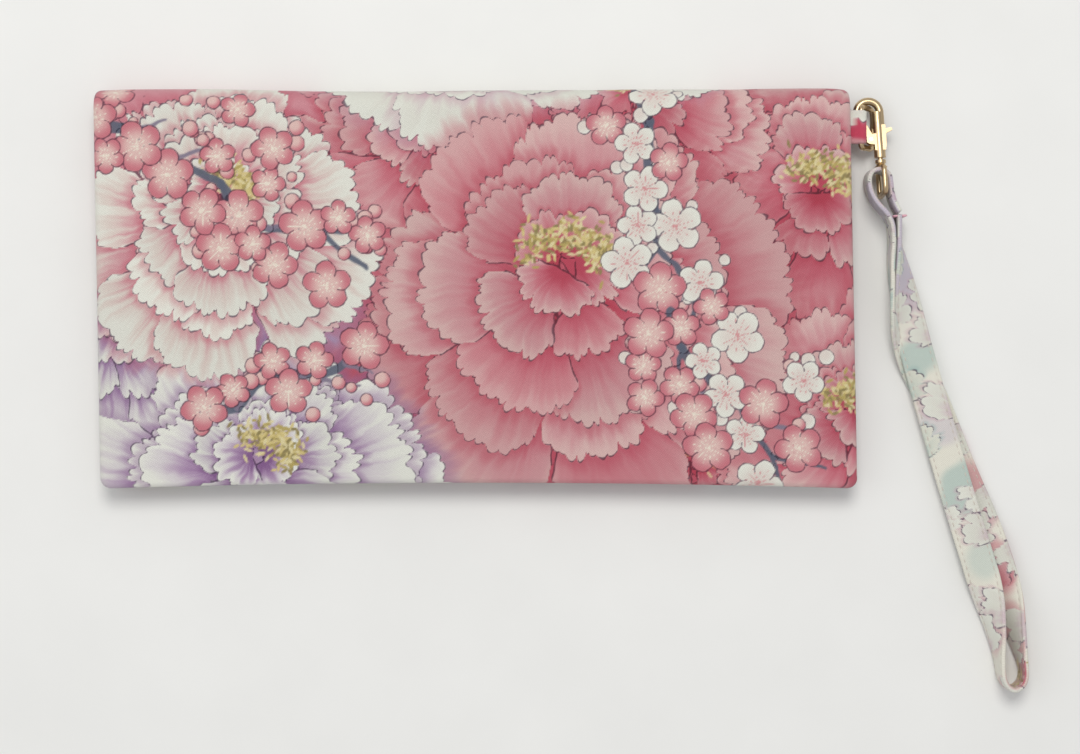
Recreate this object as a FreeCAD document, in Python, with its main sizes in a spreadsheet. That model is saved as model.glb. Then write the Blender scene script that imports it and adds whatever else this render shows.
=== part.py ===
"""Fold-over wristlet wallet: padded fabric shell, zipped coin pocket, card pockets,
magnetic snap, side tab with a D-ring, swivel snap hook and a stitched wrist strap.

Frame: the wallet lies closed on its back panel. +X is along its width, towards the tab,
+Y towards the fold, +Z up out of the flap. The origin is the middle of the back face.
All sizes are in millimetres.
"""
import FreeCAD
import Part
import math
import os

import Sketcher

V = FreeCAD.Vector
doc = FreeCAD.newDocument("wristlet_wallet")

# ---------------------------------------------------------------- driving dimensions

DIMENSIONS = [
    ("wallet_width", 209.0),       # along X
    ("wallet_height", 111.0),      # along Y, fold to flap edge
    ("wallet_thick", 13.0),        # closed
    ("shell_thick", 2.2),          # fabric over fleece
    ("corner_radius", 4.0),
    ("shell_arc", 32.0),           # degrees of the fold that stay with each panel
    ("crease_gap", 1.5),           # degrees left open at each crease
    ("lining_thick", 0.4),
    ("lining_inset", 1.5),
    ("bill_gap", 1.4),             # closed height of the note compartment
    ("divider_thick", 0.5),
    ("pocket_half", 102.0),        # half width of the coin pocket
    ("pocket_low", -50.0),
    ("pocket_high", 48.0),
    ("pocket_seam", 4.0),          # width of the gusset round the coin pocket
    ("pocket_deep", 1.7),          # closed height inside the coin pocket
    ("tape_thick", 0.5),
    ("tape_wide", 8.0),
    ("panel_thick", 0.5),
    ("panel_reach", 3.4),          # from the zip's middle to the edge of a panel
    ("zip_y", 38.0),
    ("zip_half", 92.0),
    ("zip_gap", 1.1),              # between the two rows of teeth
    ("tooth_long", 1.2),
    ("tooth_wide", 1.0),
    ("tooth_nose", 0.12),          # how far a tooth stands past the tape's edge
    ("tooth_high", 1.7),
    ("tooth_pitch", 2.0),
    ("tooth_count", 86),
    ("slider_x", -80.0),           # the closed end
    ("slider_long", 8.0),
    ("slider_wide", 6.0),
    ("plate_thick", 0.5),
    ("pull_long", 17.0),
    ("pull_wide", 4.6),
    ("card_thick", 0.5),
    ("card_step", 10.0),
    ("card_half_gap", 9.5),
    ("card_width", 90.5),
    ("card_low", -50.0),
    ("card_high", 28.0),           # mouth of the pocket nearest the lining
    ("snap_y", -38.0),
    ("snap_radius", 7.0),
    ("cap_thick", 1.1),
    ("boss_radius", 3.5),
    ("boss_high", 1.5),
    ("snap_clear", 0.3),
    ("tab_width", 9.4),
    ("tab_y", 44.8),
    ("tab_thick", 0.6),
    ("tab_root", 97.0),
    ("ring_wire", 0.8),            # radius of the D-ring's wire
    ("ring_half", 5.6),            # half its width, to the wire's middle
    ("ring_deep", 7.5),            # from its bar to its round end, middle to middle
    ("ring_corner", 2.2),
    ("ring_x", 107.1),
    ("ring_z", 8.6),
    ("ring_tilt", 56.3),           # how far it hangs down from level
    ("hook_x", 109.55),            # the middle of the hook's bend
    ("hook_y", 49.2),
    ("hook_z", 5.3),
    ("hook_yaw", 3.7),
    ("hook_rise", 4.0),            # the clasp rises towards the strap
    ("hook_wire", 1.1),
    ("bend_radius", 3.2),
    ("bend_turn", 185.0),
    ("cheek_thick", 2.8),          # across both cheeks of the base
    ("slot_thick", 1.7),
    ("slot_top", -4.3),
    ("slot_floor", -8.9),
    ("foot", -10.9),
    ("pin_x", 0.1),
    ("pin_y", -7.7),
    ("pin_radius", 0.5),
    ("pin_clear", 0.05),
    ("gate_thick", 1.5),
    ("swivel_x", 2.4),
    ("collar_radius", 1.6),
    ("collar_high", 2.0),
    ("post_radius", 0.75),
    ("head_radius", 1.15),
    ("post_clear", 0.05),
    ("hub_radius", 1.5),
    ("loop_wire", 0.75),
    ("loop_half", 5.6),
    ("loop_top", -16.0),
    ("loop_bar", -23.3),
    ("loop_corner", 1.6),
    ("strap_width", 9.5),
    ("strap_thick", 1.4),
    ("fold_inner", 2.0),           # inside radius of the strap's fold round the loop
    ("layer_high", 2.8),           # underside of the upper layer of the strap
]

sheet = doc.addObject("Spreadsheet::Sheet", "Dim")
for row, (name, value) in enumerate(DIMENSIONS, 1):
    sheet.set(f"A{row}", name)
    sheet.set(f"B{row}", str(value))
    sheet.setAlias(f"B{row}", name)
doc.recompute()
size = {name: float(sheet.get(name)) for name, _ in DIMENSIONS}

sub_parts = []


def keep(obj, label):
    """Marks a finished object as a sub-part and gives it the label that names its file."""
    obj.Label = label
    sub_parts.append(obj)
    return obj


def bind(obj, **expressions):
    """Binds properties to expressions on the sheet; __ in a name stands for a dot."""
    for prop, text in expressions.items():
        obj.setExpression(prop.replace("__", "."), str(text))
    return obj


# ---------------------------------------------------------------- heights of the layers
# Each is an expression on the sheet, from the table up.

HALF = "(Dim.wallet_width / 2)"
LINING_TOP = "(Dim.shell_thick + Dim.lining_thick)"
DIVIDER_LOW = f"({LINING_TOP} + Dim.bill_gap)"
DIVIDER_TOP = f"({DIVIDER_LOW} + Dim.divider_thick)"
TAPE_LOW = f"({DIVIDER_TOP} + Dim.pocket_deep)"
TAPE_TOP = f"({TAPE_LOW} + Dim.tape_thick)"
PANEL_TOP = f"({TAPE_TOP} + Dim.panel_thick)"
FLAP_LOW = "(Dim.wallet_thick - Dim.shell_thick)"
FLAP_LINING_LOW = f"({FLAP_LOW} - Dim.lining_thick)"
FOLD_RADIUS = "(Dim.wallet_thick / 2)"
FOLD_Y = f"(Dim.wallet_height / 2 - {FOLD_RADIUS})"

# ---------------------------------------------------------------- shape helpers

def value_of(text):
    """The number that an expression stands for, worked out in a spare cell of the sheet."""
    sheet.set("D1", "=" + str(text).replace("Dim.", ""))
    sheet.recompute()
    return float(sheet.get("D1"))


def box(name, low, long):
    """A box from its lowest corner and its three lengths, all expressions."""
    obj = doc.addObject("Part::Box", name)
    return bind(
        obj,
        Placement__Base__x=low[0], Placement__Base__y=low[1], Placement__Base__z=low[2],
        Length=long[0], Width=long[1], Height=long[2],
    )


def cylinder(name, base, radius, height):
    """An upright cylinder from the middle of its foot, all expressions."""
    obj = doc.addObject("Part::Cylinder", name)
    return bind(
        obj,
        Placement__Base__x=base[0], Placement__Base__y=base[1], Placement__Base__z=base[2],
        Radius=radius, Height=height,
    )


def cut(name, base, tool):
    obj = doc.addObject("Part::Cut", name)
    obj.Base, obj.Tool = base, tool
    return obj


def fuse(name, *shapes):
    obj = doc.addObject("Part::MultiFuse", name)
    obj.Shapes = list(shapes)
    obj.Refine = True
    return obj


ALONG_X = FreeCAD.Rotation(V(1, 1, 1), 120)   # turns Z to X, X to Y and Y to Z


def fold_sector(name, start, turn):
    """A strip of the folded shell, from an angle of the fold over a turn, in degrees."""
    made = []
    for part, radius in (("outer", FOLD_RADIUS), ("inner", f"{FOLD_RADIUS} - Dim.shell_thick")):
        obj = doc.addObject("Part::Cylinder", f"{name}_{part}")
        spin = ALONG_X.multiply(FreeCAD.Rotation(V(0, 0, 1), start))
        obj.Placement = FreeCAD.Placement(V(0, 0, 0), spin)
        bind(
            obj, Radius=radius, Height="Dim.wallet_width", Angle=turn,
            Placement__Base__x=f"-{HALF}", Placement__Base__y=FOLD_Y,
            Placement__Base__z=FOLD_RADIUS,
        )
        made.append(obj)
    return cut(name, *made)


def round_corners(name, base, radius, wanted):
    """A Part::Fillet of the edges for which wanted says yes."""
    doc.recompute()
    obj = doc.addObject("Part::Fillet", name)
    obj.Base = base
    obj.Edges = [
        (i, radius, radius) for i, edge in enumerate(base.Shape.Edges, 1) if wanted(edge)
    ]
    return obj


NEAR_FREE_EDGE = 5 - size["wallet_height"] / 2


def upright_low_corner(edge):
    """True for a vertical edge at the free edge of a panel."""
    first, last = edge.Vertexes[0].Point, edge.Vertexes[-1].Point
    return (last - first).cross(V(0, 0, 1)).Length < 1e-6 and first.y < NEAR_FREE_EDGE


def new_body(name):
    return doc.addObject("PartDesign::Body", name)


def plane_of(body, role):
    return next(f for f in body.Origin.OriginFeatures if f.Role == role)


def sketch_on(body, role, name):
    sketch = body.newObject("Sketcher::SketchObject", name)
    sketch.AttachmentSupport = [(plane_of(body, role), "")]
    sketch.MapMode = "FlatFace"
    return sketch


def outline(sketch, corners):
    """A closed polygon whose corners are fixed by expressions, (x, y) each."""
    first = len(sketch.Geometry)
    points = [V(value_of(x), value_of(y), 0) for x, y in corners]
    count = len(points)
    for i in range(count):
        sketch.addGeometry(Part.LineSegment(points[i], points[(i + 1) % count]), False)
    for i in range(count):
        here, after = first + i, first + (i + 1) % count
        sketch.addConstraint(Sketcher.Constraint("Coincident", here, 2, after, 1))
    for i, (x, y) in enumerate(corners):
        for kind, text, value in (("DistanceX", x, points[i].x), ("DistanceY", y, points[i].y)):
            index = sketch.addConstraint(Sketcher.Constraint(kind, -1, 1, first + i, 1, value))
            sketch.setExpression(f"Constraints[{index}]", str(text))
    return sketch


def disc(sketch, x, y, radius):
    """A circle whose place and radius are expressions."""
    centre = V(value_of(x), value_of(y), 0)
    index = sketch.addGeometry(Part.Circle(centre, V(0, 0, 1), value_of(radius)), False)
    for kind, text, value in (("DistanceX", x, centre.x), ("DistanceY", y, centre.y)):
        made = sketch.addConstraint(Sketcher.Constraint(kind, -1, 1, index, 3, value))
        sketch.setExpression(f"Constraints[{made}]", str(text))
    made = sketch.addConstraint(Sketcher.Constraint("Radius", index, value_of(radius)))
    sketch.setExpression(f"Constraints[{made}]", str(radius))
    return sketch


def pad(body, sketch, length, middle=False, back=False):
    feature = body.newObject("PartDesign::Pad", sketch.Name + "_pad")
    feature.Profile = sketch
    feature.Midplane = middle
    feature.Reversed = back
    feature.setExpression("Length", str(length))
    sketch.Visibility = False
    return feature


def pocket(body, sketch, length, middle=False, back=False):
    feature = body.newObject("PartDesign::Pocket", sketch.Name + "_pocket")
    feature.Profile = sketch
    feature.Midplane = middle
    feature.Reversed = back
    feature.setExpression("Length", str(length))
    return feature


def revolve(body, sketch, axis, turn=360.0):
    feature = body.newObject("PartDesign::Revolution", sketch.Name + "_turn")
    feature.Profile = sketch
    feature.ReferenceAxis = (sketch, [axis])
    feature.setExpression("Angle", str(turn))
    return feature


# ---------------------------------------------------------------- shell

def panel(name, low):
    """A flat panel of the shell up to the fold, with its two free corners rounded."""
    flat = box(
        name + "_flat", (f"-{HALF}", "-Dim.wallet_height / 2", low),
        ("Dim.wallet_width", f"{FOLD_Y} + Dim.wallet_height / 2", "Dim.shell_thick"),
    )
    return round_corners(name + "_rounded", flat, size["corner_radius"], upright_low_corner)


ARC = size["shell_arc"]
GAP = size["crease_gap"]
keep(fuse("back", panel("back_panel", "0"), fold_sector("back_fold", -90, ARC)), "back_shell")
keep(fold_sector("spine", -90 + ARC + GAP, 180 - 2 * ARC - 2 * GAP), "spine_shell")
keep(fuse("flap", panel("flap_panel", FLAP_LOW), fold_sector("flap_fold", 90 - ARC, ARC)),
     "flap_shell")


def lining(name, low):
    flat = box(
        name + "_flat",
        (f"-{HALF} + Dim.lining_inset", "-Dim.wallet_height / 2 + Dim.lining_inset", low),
        ("Dim.wallet_width - 2 * Dim.lining_inset",
         f"{FOLD_Y} + Dim.wallet_height / 2 - Dim.lining_inset", "Dim.lining_thick"),
    )
    return keep(round_corners(name, flat, size["corner_radius"], upright_low_corner), name)


lining("back_lining", "Dim.shell_thick")
lining("flap_lining", FLAP_LINING_LOW)


# ---------------------------------------------------------------- coin pocket

POCKET_WIDE = "2 * Dim.pocket_half"


def pocket_sheet(name, low, high, bottom, thick):
    """A rectangle of fabric as wide as the coin pocket."""
    return keep(
        box(name, ("-Dim.pocket_half", low, bottom), (POCKET_WIDE, f"{high} - ({low})", thick)), name)


def gusset(name, bottom, thick, closed):
    """The seam allowance round the pocket: on three sides, or on all four when closed."""
    outer = box(name + "_outer", ("-Dim.pocket_half", "Dim.pocket_low", bottom),
                (POCKET_WIDE, "Dim.pocket_high - Dim.pocket_low", thick))
    top = "Dim.pocket_seam" if closed else "0 - Dim.pocket_seam"
    inner = box(
        name + "_inner",
        ("-Dim.pocket_half + Dim.pocket_seam", "Dim.pocket_low + Dim.pocket_seam", bottom),
        (f"{POCKET_WIDE} - 2 * Dim.pocket_seam",
         f"Dim.pocket_high - Dim.pocket_low - Dim.pocket_seam - {top}", thick),
    )
    return keep(cut(name, outer, inner), name)


gusset("note_pocket_gusset", LINING_TOP, "Dim.bill_gap", closed=False)
pocket_sheet("coin_pocket_back", "Dim.pocket_low", "Dim.pocket_high", DIVIDER_LOW, "Dim.divider_thick")
gusset("coin_pocket_gusset", DIVIDER_TOP, "Dim.pocket_deep", closed=True)
pocket_sheet("coin_panel_lower", "Dim.pocket_low", "(Dim.zip_y - Dim.panel_reach)", TAPE_TOP,
             "Dim.panel_thick")
pocket_sheet("coin_panel_upper", "(Dim.zip_y + Dim.panel_reach)", "Dim.pocket_high", TAPE_TOP,
             "Dim.panel_thick")

# ---------------------------------------------------------------- zip
# The two rows of teeth stand a hair apart, so that the slider's bridge runs between them.

TAPE_END = 6                                  # the tapes run on past the ends of the zip


def zip_tape(name, low):
    return keep(box(name, (f"-Dim.zip_half - {TAPE_END}", low, TAPE_LOW),
                    (f"2 * Dim.zip_half + 2 * {TAPE_END}", "Dim.tape_wide", "Dim.tape_thick")), name)


zip_tape("zip_tape_lower", "(Dim.zip_y - Dim.zip_gap / 2 - Dim.tape_wide)")
zip_tape("zip_tape_upper", "(Dim.zip_y + Dim.zip_gap / 2)")

TOOTH_LOW = f"({TAPE_LOW} + Dim.tape_thick / 2 - Dim.tooth_high / 2)"
tape_low = value_of(TAPE_LOW)
TAPE_MIDDLE = tape_low + size["tape_thick"] / 2
ROW_START = -size["tooth_pitch"] * (size["tooth_count"] - 1) / 2


def teeth(name, side, shift):
    """One row of teeth, each clamped round the tape's edge; side is +1 for the upper row."""
    edge = size["zip_y"] + side * size["zip_gap"] / 2
    nose = edge - side * size["tooth_nose"]
    back = edge + side * size["tooth_wide"]
    bottom = TAPE_MIDDLE - size["tooth_high"] / 2
    whole = Part.makeBox(size["tooth_long"], abs(back - nose), size["tooth_high"],
                         V(ROW_START + shift, min(nose, back), bottom))
    taken = Part.makeBox(size["tooth_long"], size["tooth_wide"], size["tape_thick"],
                         V(ROW_START + shift, min(edge, back), tape_low))
    tooth = whole.cut(taken)
    row = [tooth.translated(V(index * size["tooth_pitch"], 0, 0))
           for index in range(int(size["tooth_count"]))]
    obj = doc.addObject("Part::Feature", name)
    obj.Shape = Part.makeCompound(row)
    return keep(obj, name)


teeth("zip_teeth_lower", -1, 0.0)
teeth("zip_teeth_upper", 1, size["tooth_pitch"] / 2)


STOP_LONG, STOP_REACH, STOP_HIGH = 1.6, 1.2, 0.6


def zip_stop(name, x):
    """A metal clip over both tapes past the end of the teeth."""
    return box(name, (str(x), f"Dim.zip_y - Dim.zip_gap / 2 - {STOP_REACH}", TAPE_TOP),
               (STOP_LONG, f"Dim.zip_gap + 2 * {STOP_REACH}", STOP_HIGH))


keep(fuse("zip_stops", zip_stop("stop_left", -91.0), zip_stop("stop_right", 89.0)), "zip_stops")

PLATE_CLEAR = 0.12
PLATE_LOW = f"({TOOTH_LOW} - {PLATE_CLEAR} - Dim.plate_thick)"
PLATE_TOP = f"({TOOTH_LOW} + Dim.tooth_high + {PLATE_CLEAR})"


def slider_plate(name, bottom):
    return box(name, ("Dim.slider_x - Dim.slider_long / 2", "Dim.zip_y - Dim.slider_wide / 2", bottom),
               ("Dim.slider_long", "Dim.slider_wide", "Dim.plate_thick"))


bridge = box("bridge", ("Dim.slider_x - 3", "Dim.zip_y - 0.35", PLATE_LOW),
             ("3", "0.7", f"{PLATE_TOP} - {PLATE_LOW} + Dim.plate_thick"))
bail_post = box("bail_post", ("Dim.slider_x - 2.6", "Dim.zip_y - 0.6", f"{PLATE_TOP} + Dim.plate_thick"),
                ("0.8", "1.2", "1.5"))
bail_foot = box("bail_foot", ("Dim.slider_x + 1.8", "Dim.zip_y - 0.6", f"{PLATE_TOP} + Dim.plate_thick"),
                ("0.8", "1.2", "1.5"))
bail_top = box("bail_top", ("Dim.slider_x - 2.6", "Dim.zip_y - 0.6",
                            f"{PLATE_TOP} + Dim.plate_thick + 1.1"), ("5.2", "1.2", "0.5"))
keep(fuse("slider", slider_plate("plate_low", PLATE_LOW), slider_plate("plate_top", PLATE_TOP),
          bridge, bail_post, bail_foot, bail_top), "zip_slider")

pull = new_body("pull")
face = sketch_on(pull, "XY_Plane", "pull_outline")
outline(face, [
    ("0 - 1.6", "0 - Dim.pull_wide / 2 + 0.8"), ("0 - 0.6", "0 - Dim.pull_wide / 2"),
    ("Dim.pull_long - 2", "0 - Dim.pull_wide / 2"), ("Dim.pull_long", "0 - Dim.pull_wide / 2 + 1.4"),
    ("Dim.pull_long", "Dim.pull_wide / 2 - 1.4"), ("Dim.pull_long - 2", "Dim.pull_wide / 2"),
    ("0 - 0.6", "Dim.pull_wide / 2"), ("0 - 1.6", "Dim.pull_wide / 2 - 0.8"),
])
pad(pull, face, "0.7")
eye = sketch_on(pull, "XY_Plane", "pull_eye")
disc(eye, "0.4", "0", "1.3")
pocket(pull, eye, "0.7", back=True)
hang = sketch_on(pull, "XY_Plane", "pull_slot")
outline(hang, [("7", "0 - 1.1"), ("14", "0 - 1.1"), ("14", "1.1"), ("7", "1.1")])
pocket(pull, hang, "0.7", back=True)
bind(pull, Placement__Base__x="Dim.slider_x + 1.8", Placement__Base__y="Dim.zip_y",
     Placement__Base__z=f"{PLATE_TOP} + Dim.plate_thick + 0.2")
keep(pull, "zip_pull")

# ---------------------------------------------------------------- card pockets

for step in range(3):
    mouth = f"(Dim.card_high - {step} * Dim.card_step)"
    bottom = f"({FLAP_LINING_LOW} - {step + 1} * Dim.card_thick)"
    for side, low_x in (("left", "-Dim.card_half_gap - Dim.card_width"), ("right", "Dim.card_half_gap")):
        name = f"card_pocket_{side}_{step + 1}"
        keep(box(name, (low_x, "Dim.card_low", bottom),
                 ("Dim.card_width", f"{mouth} - Dim.card_low", "Dim.card_thick")), name)

# ---------------------------------------------------------------- magnetic snap

SNAP_TOP = f"({FLAP_LINING_LOW} - Dim.cap_thick)"
stud_cap = cylinder("stud_cap", ("0", "Dim.snap_y", SNAP_TOP), "Dim.snap_radius", "Dim.cap_thick")
stud_boss = cylinder("stud_boss", ("0", "Dim.snap_y", f"{SNAP_TOP} - Dim.boss_high"),
                     "Dim.boss_radius", "Dim.boss_high")
keep(fuse("stud", stud_cap, stud_boss), "snap_stud")

CUP_HIGH = f"({SNAP_TOP} - Dim.snap_clear - {PANEL_TOP})"
cup = cylinder("cup", ("0", "Dim.snap_y", PANEL_TOP), "Dim.snap_radius", CUP_HIGH)
cup_hole = cylinder("cup_hole", ("0", "Dim.snap_y", PANEL_TOP), "Dim.boss_radius + Dim.snap_clear",
                    CUP_HIGH)
keep(cut("snap_cup_ring", cup, cup_hole), "snap_cup")
keep(cylinder("magnet", ("0", "Dim.snap_y", PANEL_TOP), "Dim.boss_radius + Dim.snap_clear - 0.05",
              f"{SNAP_TOP} - Dim.boss_high - 0.2 - {PANEL_TOP}"), "snap_magnet")

# ---------------------------------------------------------------- side tab
# A strip folded round the D-ring's bar; both layers lie on the coin pocket.

fold_in = "(Dim.ring_wire + 0.1)"
fold_out = f"({fold_in} + Dim.tab_thick)"
tab = new_body("tab")
side_view = sketch_on(tab, "XZ_Plane", "tab_fold")
disc(side_view, "0", "0", fold_out)
disc(side_view, "0", "0", fold_in)
pad(tab, side_view, "Dim.tab_width", middle=True)
legs = sketch_on(tab, "XZ_Plane", "tab_legs")
outline(legs, [
    ("0 - 1.1", "0 - 1.05"), ("0 - 2.6", "0 - 0.2"), ("Dim.tab_root - Dim.ring_x", "0 - 0.2"),
    ("Dim.tab_root - Dim.ring_x", "1"), ("0 - 2.6", "1"), ("0 - 1.1", "1.05"),
])
pad(tab, legs, "Dim.tab_width", middle=True)
bind(tab, Placement__Base__x="Dim.ring_x", Placement__Base__y="Dim.tab_y",
     Placement__Base__z="Dim.ring_z")
keep(tab, "side_tab")

TAB_TOP = "(Dim.ring_z + 1)"
thread = []
for row_y in ("Dim.tab_y - Dim.tab_width / 2 + 1.6", "Dim.tab_y + Dim.tab_width / 2 - 2"):
    for index in range(3):
        thread.append(box(f"tab_stitch_{len(thread)}", (f"Dim.ring_x - 7.4 + {index * 1.6}", row_y, TAB_TOP),
                          ("1.2", "0.35", "0.15")))
keep(fuse("tab_thread", *thread), "tab_stitches")

# ---------------------------------------------------------------- D-ring


def tube(path, radius, start, direction):
    """A round bar along a closed or open wire."""
    ring = Part.Wire(Part.makeCircle(radius, start, direction))
    return Part.Wire(path).makePipeShell([ring], True, False)


def rounded_loop(half, near, far, radii):
    """A closed rectangle in the XY plane with a radius at each corner, as a list of edges."""
    corners = [V(-half, near, 0), V(half, near, 0), V(half, far, 0), V(-half, far, 0)]
    count = len(corners)
    enter, leave, middles = [], [], []
    for i, corner in enumerate(corners):
        before = (corners[i - 1] - corner).normalize()
        after = (corners[(i + 1) % count] - corner).normalize()
        enter.append(corner + before * radii[i])
        leave.append(corner + after * radii[i])
        centre = corner + (before + after) * radii[i]
        middles.append(centre - (before + after).normalize() * radii[i])
    edges = []
    for i in range(count):
        edges.append(Part.Arc(enter[i], middles[i], leave[i]).toShape())
        edges.append(Part.LineSegment(leave[i], enter[(i + 1) % count]).toShape())
    return edges


def wire_loop(name, half, near, far, radii, wire):
    """A closed loop of round wire in the XY plane, made as a Part::Feature."""
    edges = rounded_loop(half, near, far, radii)
    start = edges[1].Vertexes[0].Point
    along = (edges[1].Vertexes[-1].Point - start).normalize()
    edges = edges[1:] + edges[:1]
    solid = tube(edges, wire, start, along)
    obj = doc.addObject("Part::Feature", name)
    obj.Shape = solid if solid.ShapeType == "Solid" else Part.Solid(solid.Shells[0])
    return obj


ring = wire_loop(
    "ring", size["ring_half"], 0.0, size["ring_deep"],
    [1.0, 1.0, size["ring_corner"], size["ring_corner"]], size["ring_wire"],
)
# The loop's X runs along the bar, which lies along the row's Y; its Y hangs down and out.
tilt = math.radians(size["ring_tilt"])
ring_down = V(math.cos(tilt), 0, -math.sin(tilt))
ring.Placement = FreeCAD.Placement(
    V(size["ring_x"], size["tab_y"], size["ring_z"]),
    FreeCAD.Rotation(V(0, 1, 0), ring_down, V(0, 1, 0).cross(ring_down), "XYZ"),
)
keep(ring, "d_ring")

# ---------------------------------------------------------------- snap hook
# The clasp's own frame: origin in the middle of the bend, +Y towards the bend, -Y to the strap.

clasp_place = FreeCAD.Placement(
    V(size["hook_x"], size["hook_y"], size["hook_z"]),
    FreeCAD.Rotation(V(0, 0, 1), size["hook_yaw"]).multiply(
        FreeCAD.Rotation(V(1, 0, 0), -size["hook_rise"])),
)
swivel_roll = FreeCAD.Placement(V(0, 0, 0), FreeCAD.Rotation(V(0, 1, 0), 90))

hook = new_body("hook")
section = sketch_on(hook, "XZ_Plane", "bend_section")
disc(section, "Dim.bend_radius", "0", "Dim.hook_wire")
revolve(hook, section, "V_Axis", "Dim.bend_turn")
shank = sketch_on(hook, "XZ_Plane", "shank_section")
disc(shank, "Dim.bend_radius", "0", "Dim.hook_wire")
pad(hook, shank, "0 - Dim.slot_top + 0.6")
base = sketch_on(hook, "XY_Plane", "base_outline")
BASE_LEFT = -1.1
BASE_RIGHT = size["bend_radius"] + size["hook_wire"]
outline(base, [
    ("Dim.bend_radius - Dim.hook_wire", "Dim.slot_top + 0.5"),
    ("Dim.bend_radius - Dim.hook_wire", "0 - 6"), (BASE_LEFT, "0 - 6.6"), (BASE_LEFT, "0 - 8.5"),
    ("0 - 0.5", "0 - 9"), ("Dim.swivel_x - Dim.collar_radius + 0.2", "0 - 9.2"),
    ("Dim.swivel_x - Dim.collar_radius + 0.2", "Dim.foot"),
    ("Dim.swivel_x + Dim.collar_radius", "Dim.foot"),
    (BASE_RIGHT, "0 - 9"), (BASE_RIGHT, "Dim.slot_top + 0.5"),
])
pad(hook, base, "Dim.cheek_thick", middle=True)
collar = sketch_on(hook, "XZ_Plane", "collar_section")
disc(collar, "Dim.swivel_x", "0", "Dim.collar_radius")
pad(hook, collar, "0 - Dim.foot + Dim.collar_high")
slot = sketch_on(hook, "XY_Plane", "slot_outline")
outline(slot, [("0 - 2", "Dim.slot_top"), ("0 - 2", "Dim.slot_floor"),
               ("6", "Dim.slot_floor"), ("6", "Dim.slot_top")])
pocket(hook, slot, "Dim.slot_thick", middle=True)
HEAD_TOP = "(Dim.foot + 0.5)"
HEAD_FLOOR = "(Dim.foot - 0.5)"
END = "(Dim.foot - Dim.collar_high)"
bore = sketch_on(hook, "XY_Plane", "swivel_bore")
BORE = "(Dim.post_radius + Dim.post_clear)"
HEAD_BORE = "(Dim.head_radius + Dim.post_clear)"
outline(bore, [
    ("Dim.swivel_x", HEAD_TOP), ("Dim.swivel_x", f"{END} - 0.2"),
    (f"Dim.swivel_x + {BORE}", f"{END} - 0.2"), (f"Dim.swivel_x + {BORE}", HEAD_FLOOR),
    (f"Dim.swivel_x + {HEAD_BORE}", HEAD_FLOOR), (f"Dim.swivel_x + {HEAD_BORE}", HEAD_TOP),
])
groove = hook.newObject("PartDesign::Groove", "swivel_groove")
groove.Profile = bore
groove.ReferenceAxis = (bore, ["Edge1"])
groove.Angle = 360
eyes = sketch_on(hook, "XY_Plane", "pin_holes")
disc(eyes, "Dim.pin_x", "Dim.pin_y", "Dim.pin_radius")
pocket(hook, eyes, "Dim.cheek_thick + 1", middle=True)
hook.Placement = clasp_place
keep(hook, "hook_body")

gate = new_body("gate")
lever = sketch_on(gate, "XY_Plane", "gate_outline")
outline(lever, [
    ("0 - 0.85", "0 - 7.6"), ("0 - 3.2", "0 - 1.3"), ("0 - 2.25", "0 - 0.65"), ("0.75", "0 - 6.6"),
    ("3", "0 - 5.5"), ("4.6", "0 - 4.75"), ("6", "0 - 4.6"), ("6.3", "0 - 5.3"), ("4.9", "0 - 5.95"),
    ("1", "0 - 7.9"), ("0.4", "0 - 8.55"), ("0 - 0.45", "0 - 8.45"),
])
pad(gate, lever, "Dim.gate_thick", middle=True)
gate_eye = sketch_on(gate, "XY_Plane", "gate_eye")
disc(gate_eye, "Dim.pin_x", "Dim.pin_y", "Dim.pin_radius + Dim.pin_clear")
pocket(gate, gate_eye, "Dim.gate_thick + 1", middle=True)
gate.Placement = clasp_place
keep(gate, "hook_gate")

pin = new_body("pin")
pin_end = sketch_on(pin, "XY_Plane", "pin_section")
disc(pin_end, "Dim.pin_x", "Dim.pin_y", "Dim.pin_radius")
pad(pin, pin_end, "Dim.cheek_thick", middle=True)
pin.Placement = clasp_place
keep(pin, "gate_pin")

SPRING_RADIUS = 0.55
SPRING_WIRE = 0.13
SPRING_LONG = 0.55
coil = Part.makeHelix(0.36, SPRING_LONG, SPRING_RADIUS)
coil_start = coil.Vertexes[0].Point
section_ring = Part.Wire(Part.makeCircle(SPRING_WIRE, coil_start, V(0, 1, 0.1)))
spring = doc.addObject("Part::Feature", "spring")
spring.Shape = Part.Wire(coil).makePipeShell([section_ring], True, True)
spring.Placement = clasp_place.multiply(
    FreeCAD.Placement(V(3.2, size["slot_floor"] + SPRING_WIRE + 0.05, 0),
                      FreeCAD.Rotation(V(1, 0, 0), -90)))
keep(spring, "gate_spring")

# ---------------------------------------------------------------- swivel
# In the swivel's frame X lies across the clasp and the loop stands in the plane X = swivel_x.

post = new_body("post")
profile = sketch_on(post, "XY_Plane", "post_profile")
outline(profile, [
    ("Dim.swivel_x", f"{HEAD_TOP} - 0.1"), (f"Dim.swivel_x + Dim.head_radius", f"{HEAD_TOP} - 0.1"),
    (f"Dim.swivel_x + Dim.head_radius", f"{HEAD_FLOOR} + 0.1"),
    ("Dim.swivel_x + Dim.post_radius", f"{HEAD_FLOOR} + 0.1"),
    ("Dim.swivel_x + Dim.post_radius", f"{END} - 0.5"),
    ("Dim.swivel_x + Dim.hub_radius", f"{END} - 0.7"),
    ("Dim.swivel_x + Dim.hub_radius", "Dim.loop_top + 1.6"),
    ("Dim.swivel_x + Dim.hub_radius - 0.4", "Dim.loop_top + 1.1"),
    ("Dim.swivel_x + Dim.hub_radius + 0.3", "Dim.loop_top + 0.5"),
    ("Dim.swivel_x + Dim.hub_radius", "Dim.loop_top - 0.2"), ("Dim.swivel_x", "Dim.loop_top - 0.4"),
])
revolve(post, profile, "Edge11")
doc.recompute()
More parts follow.
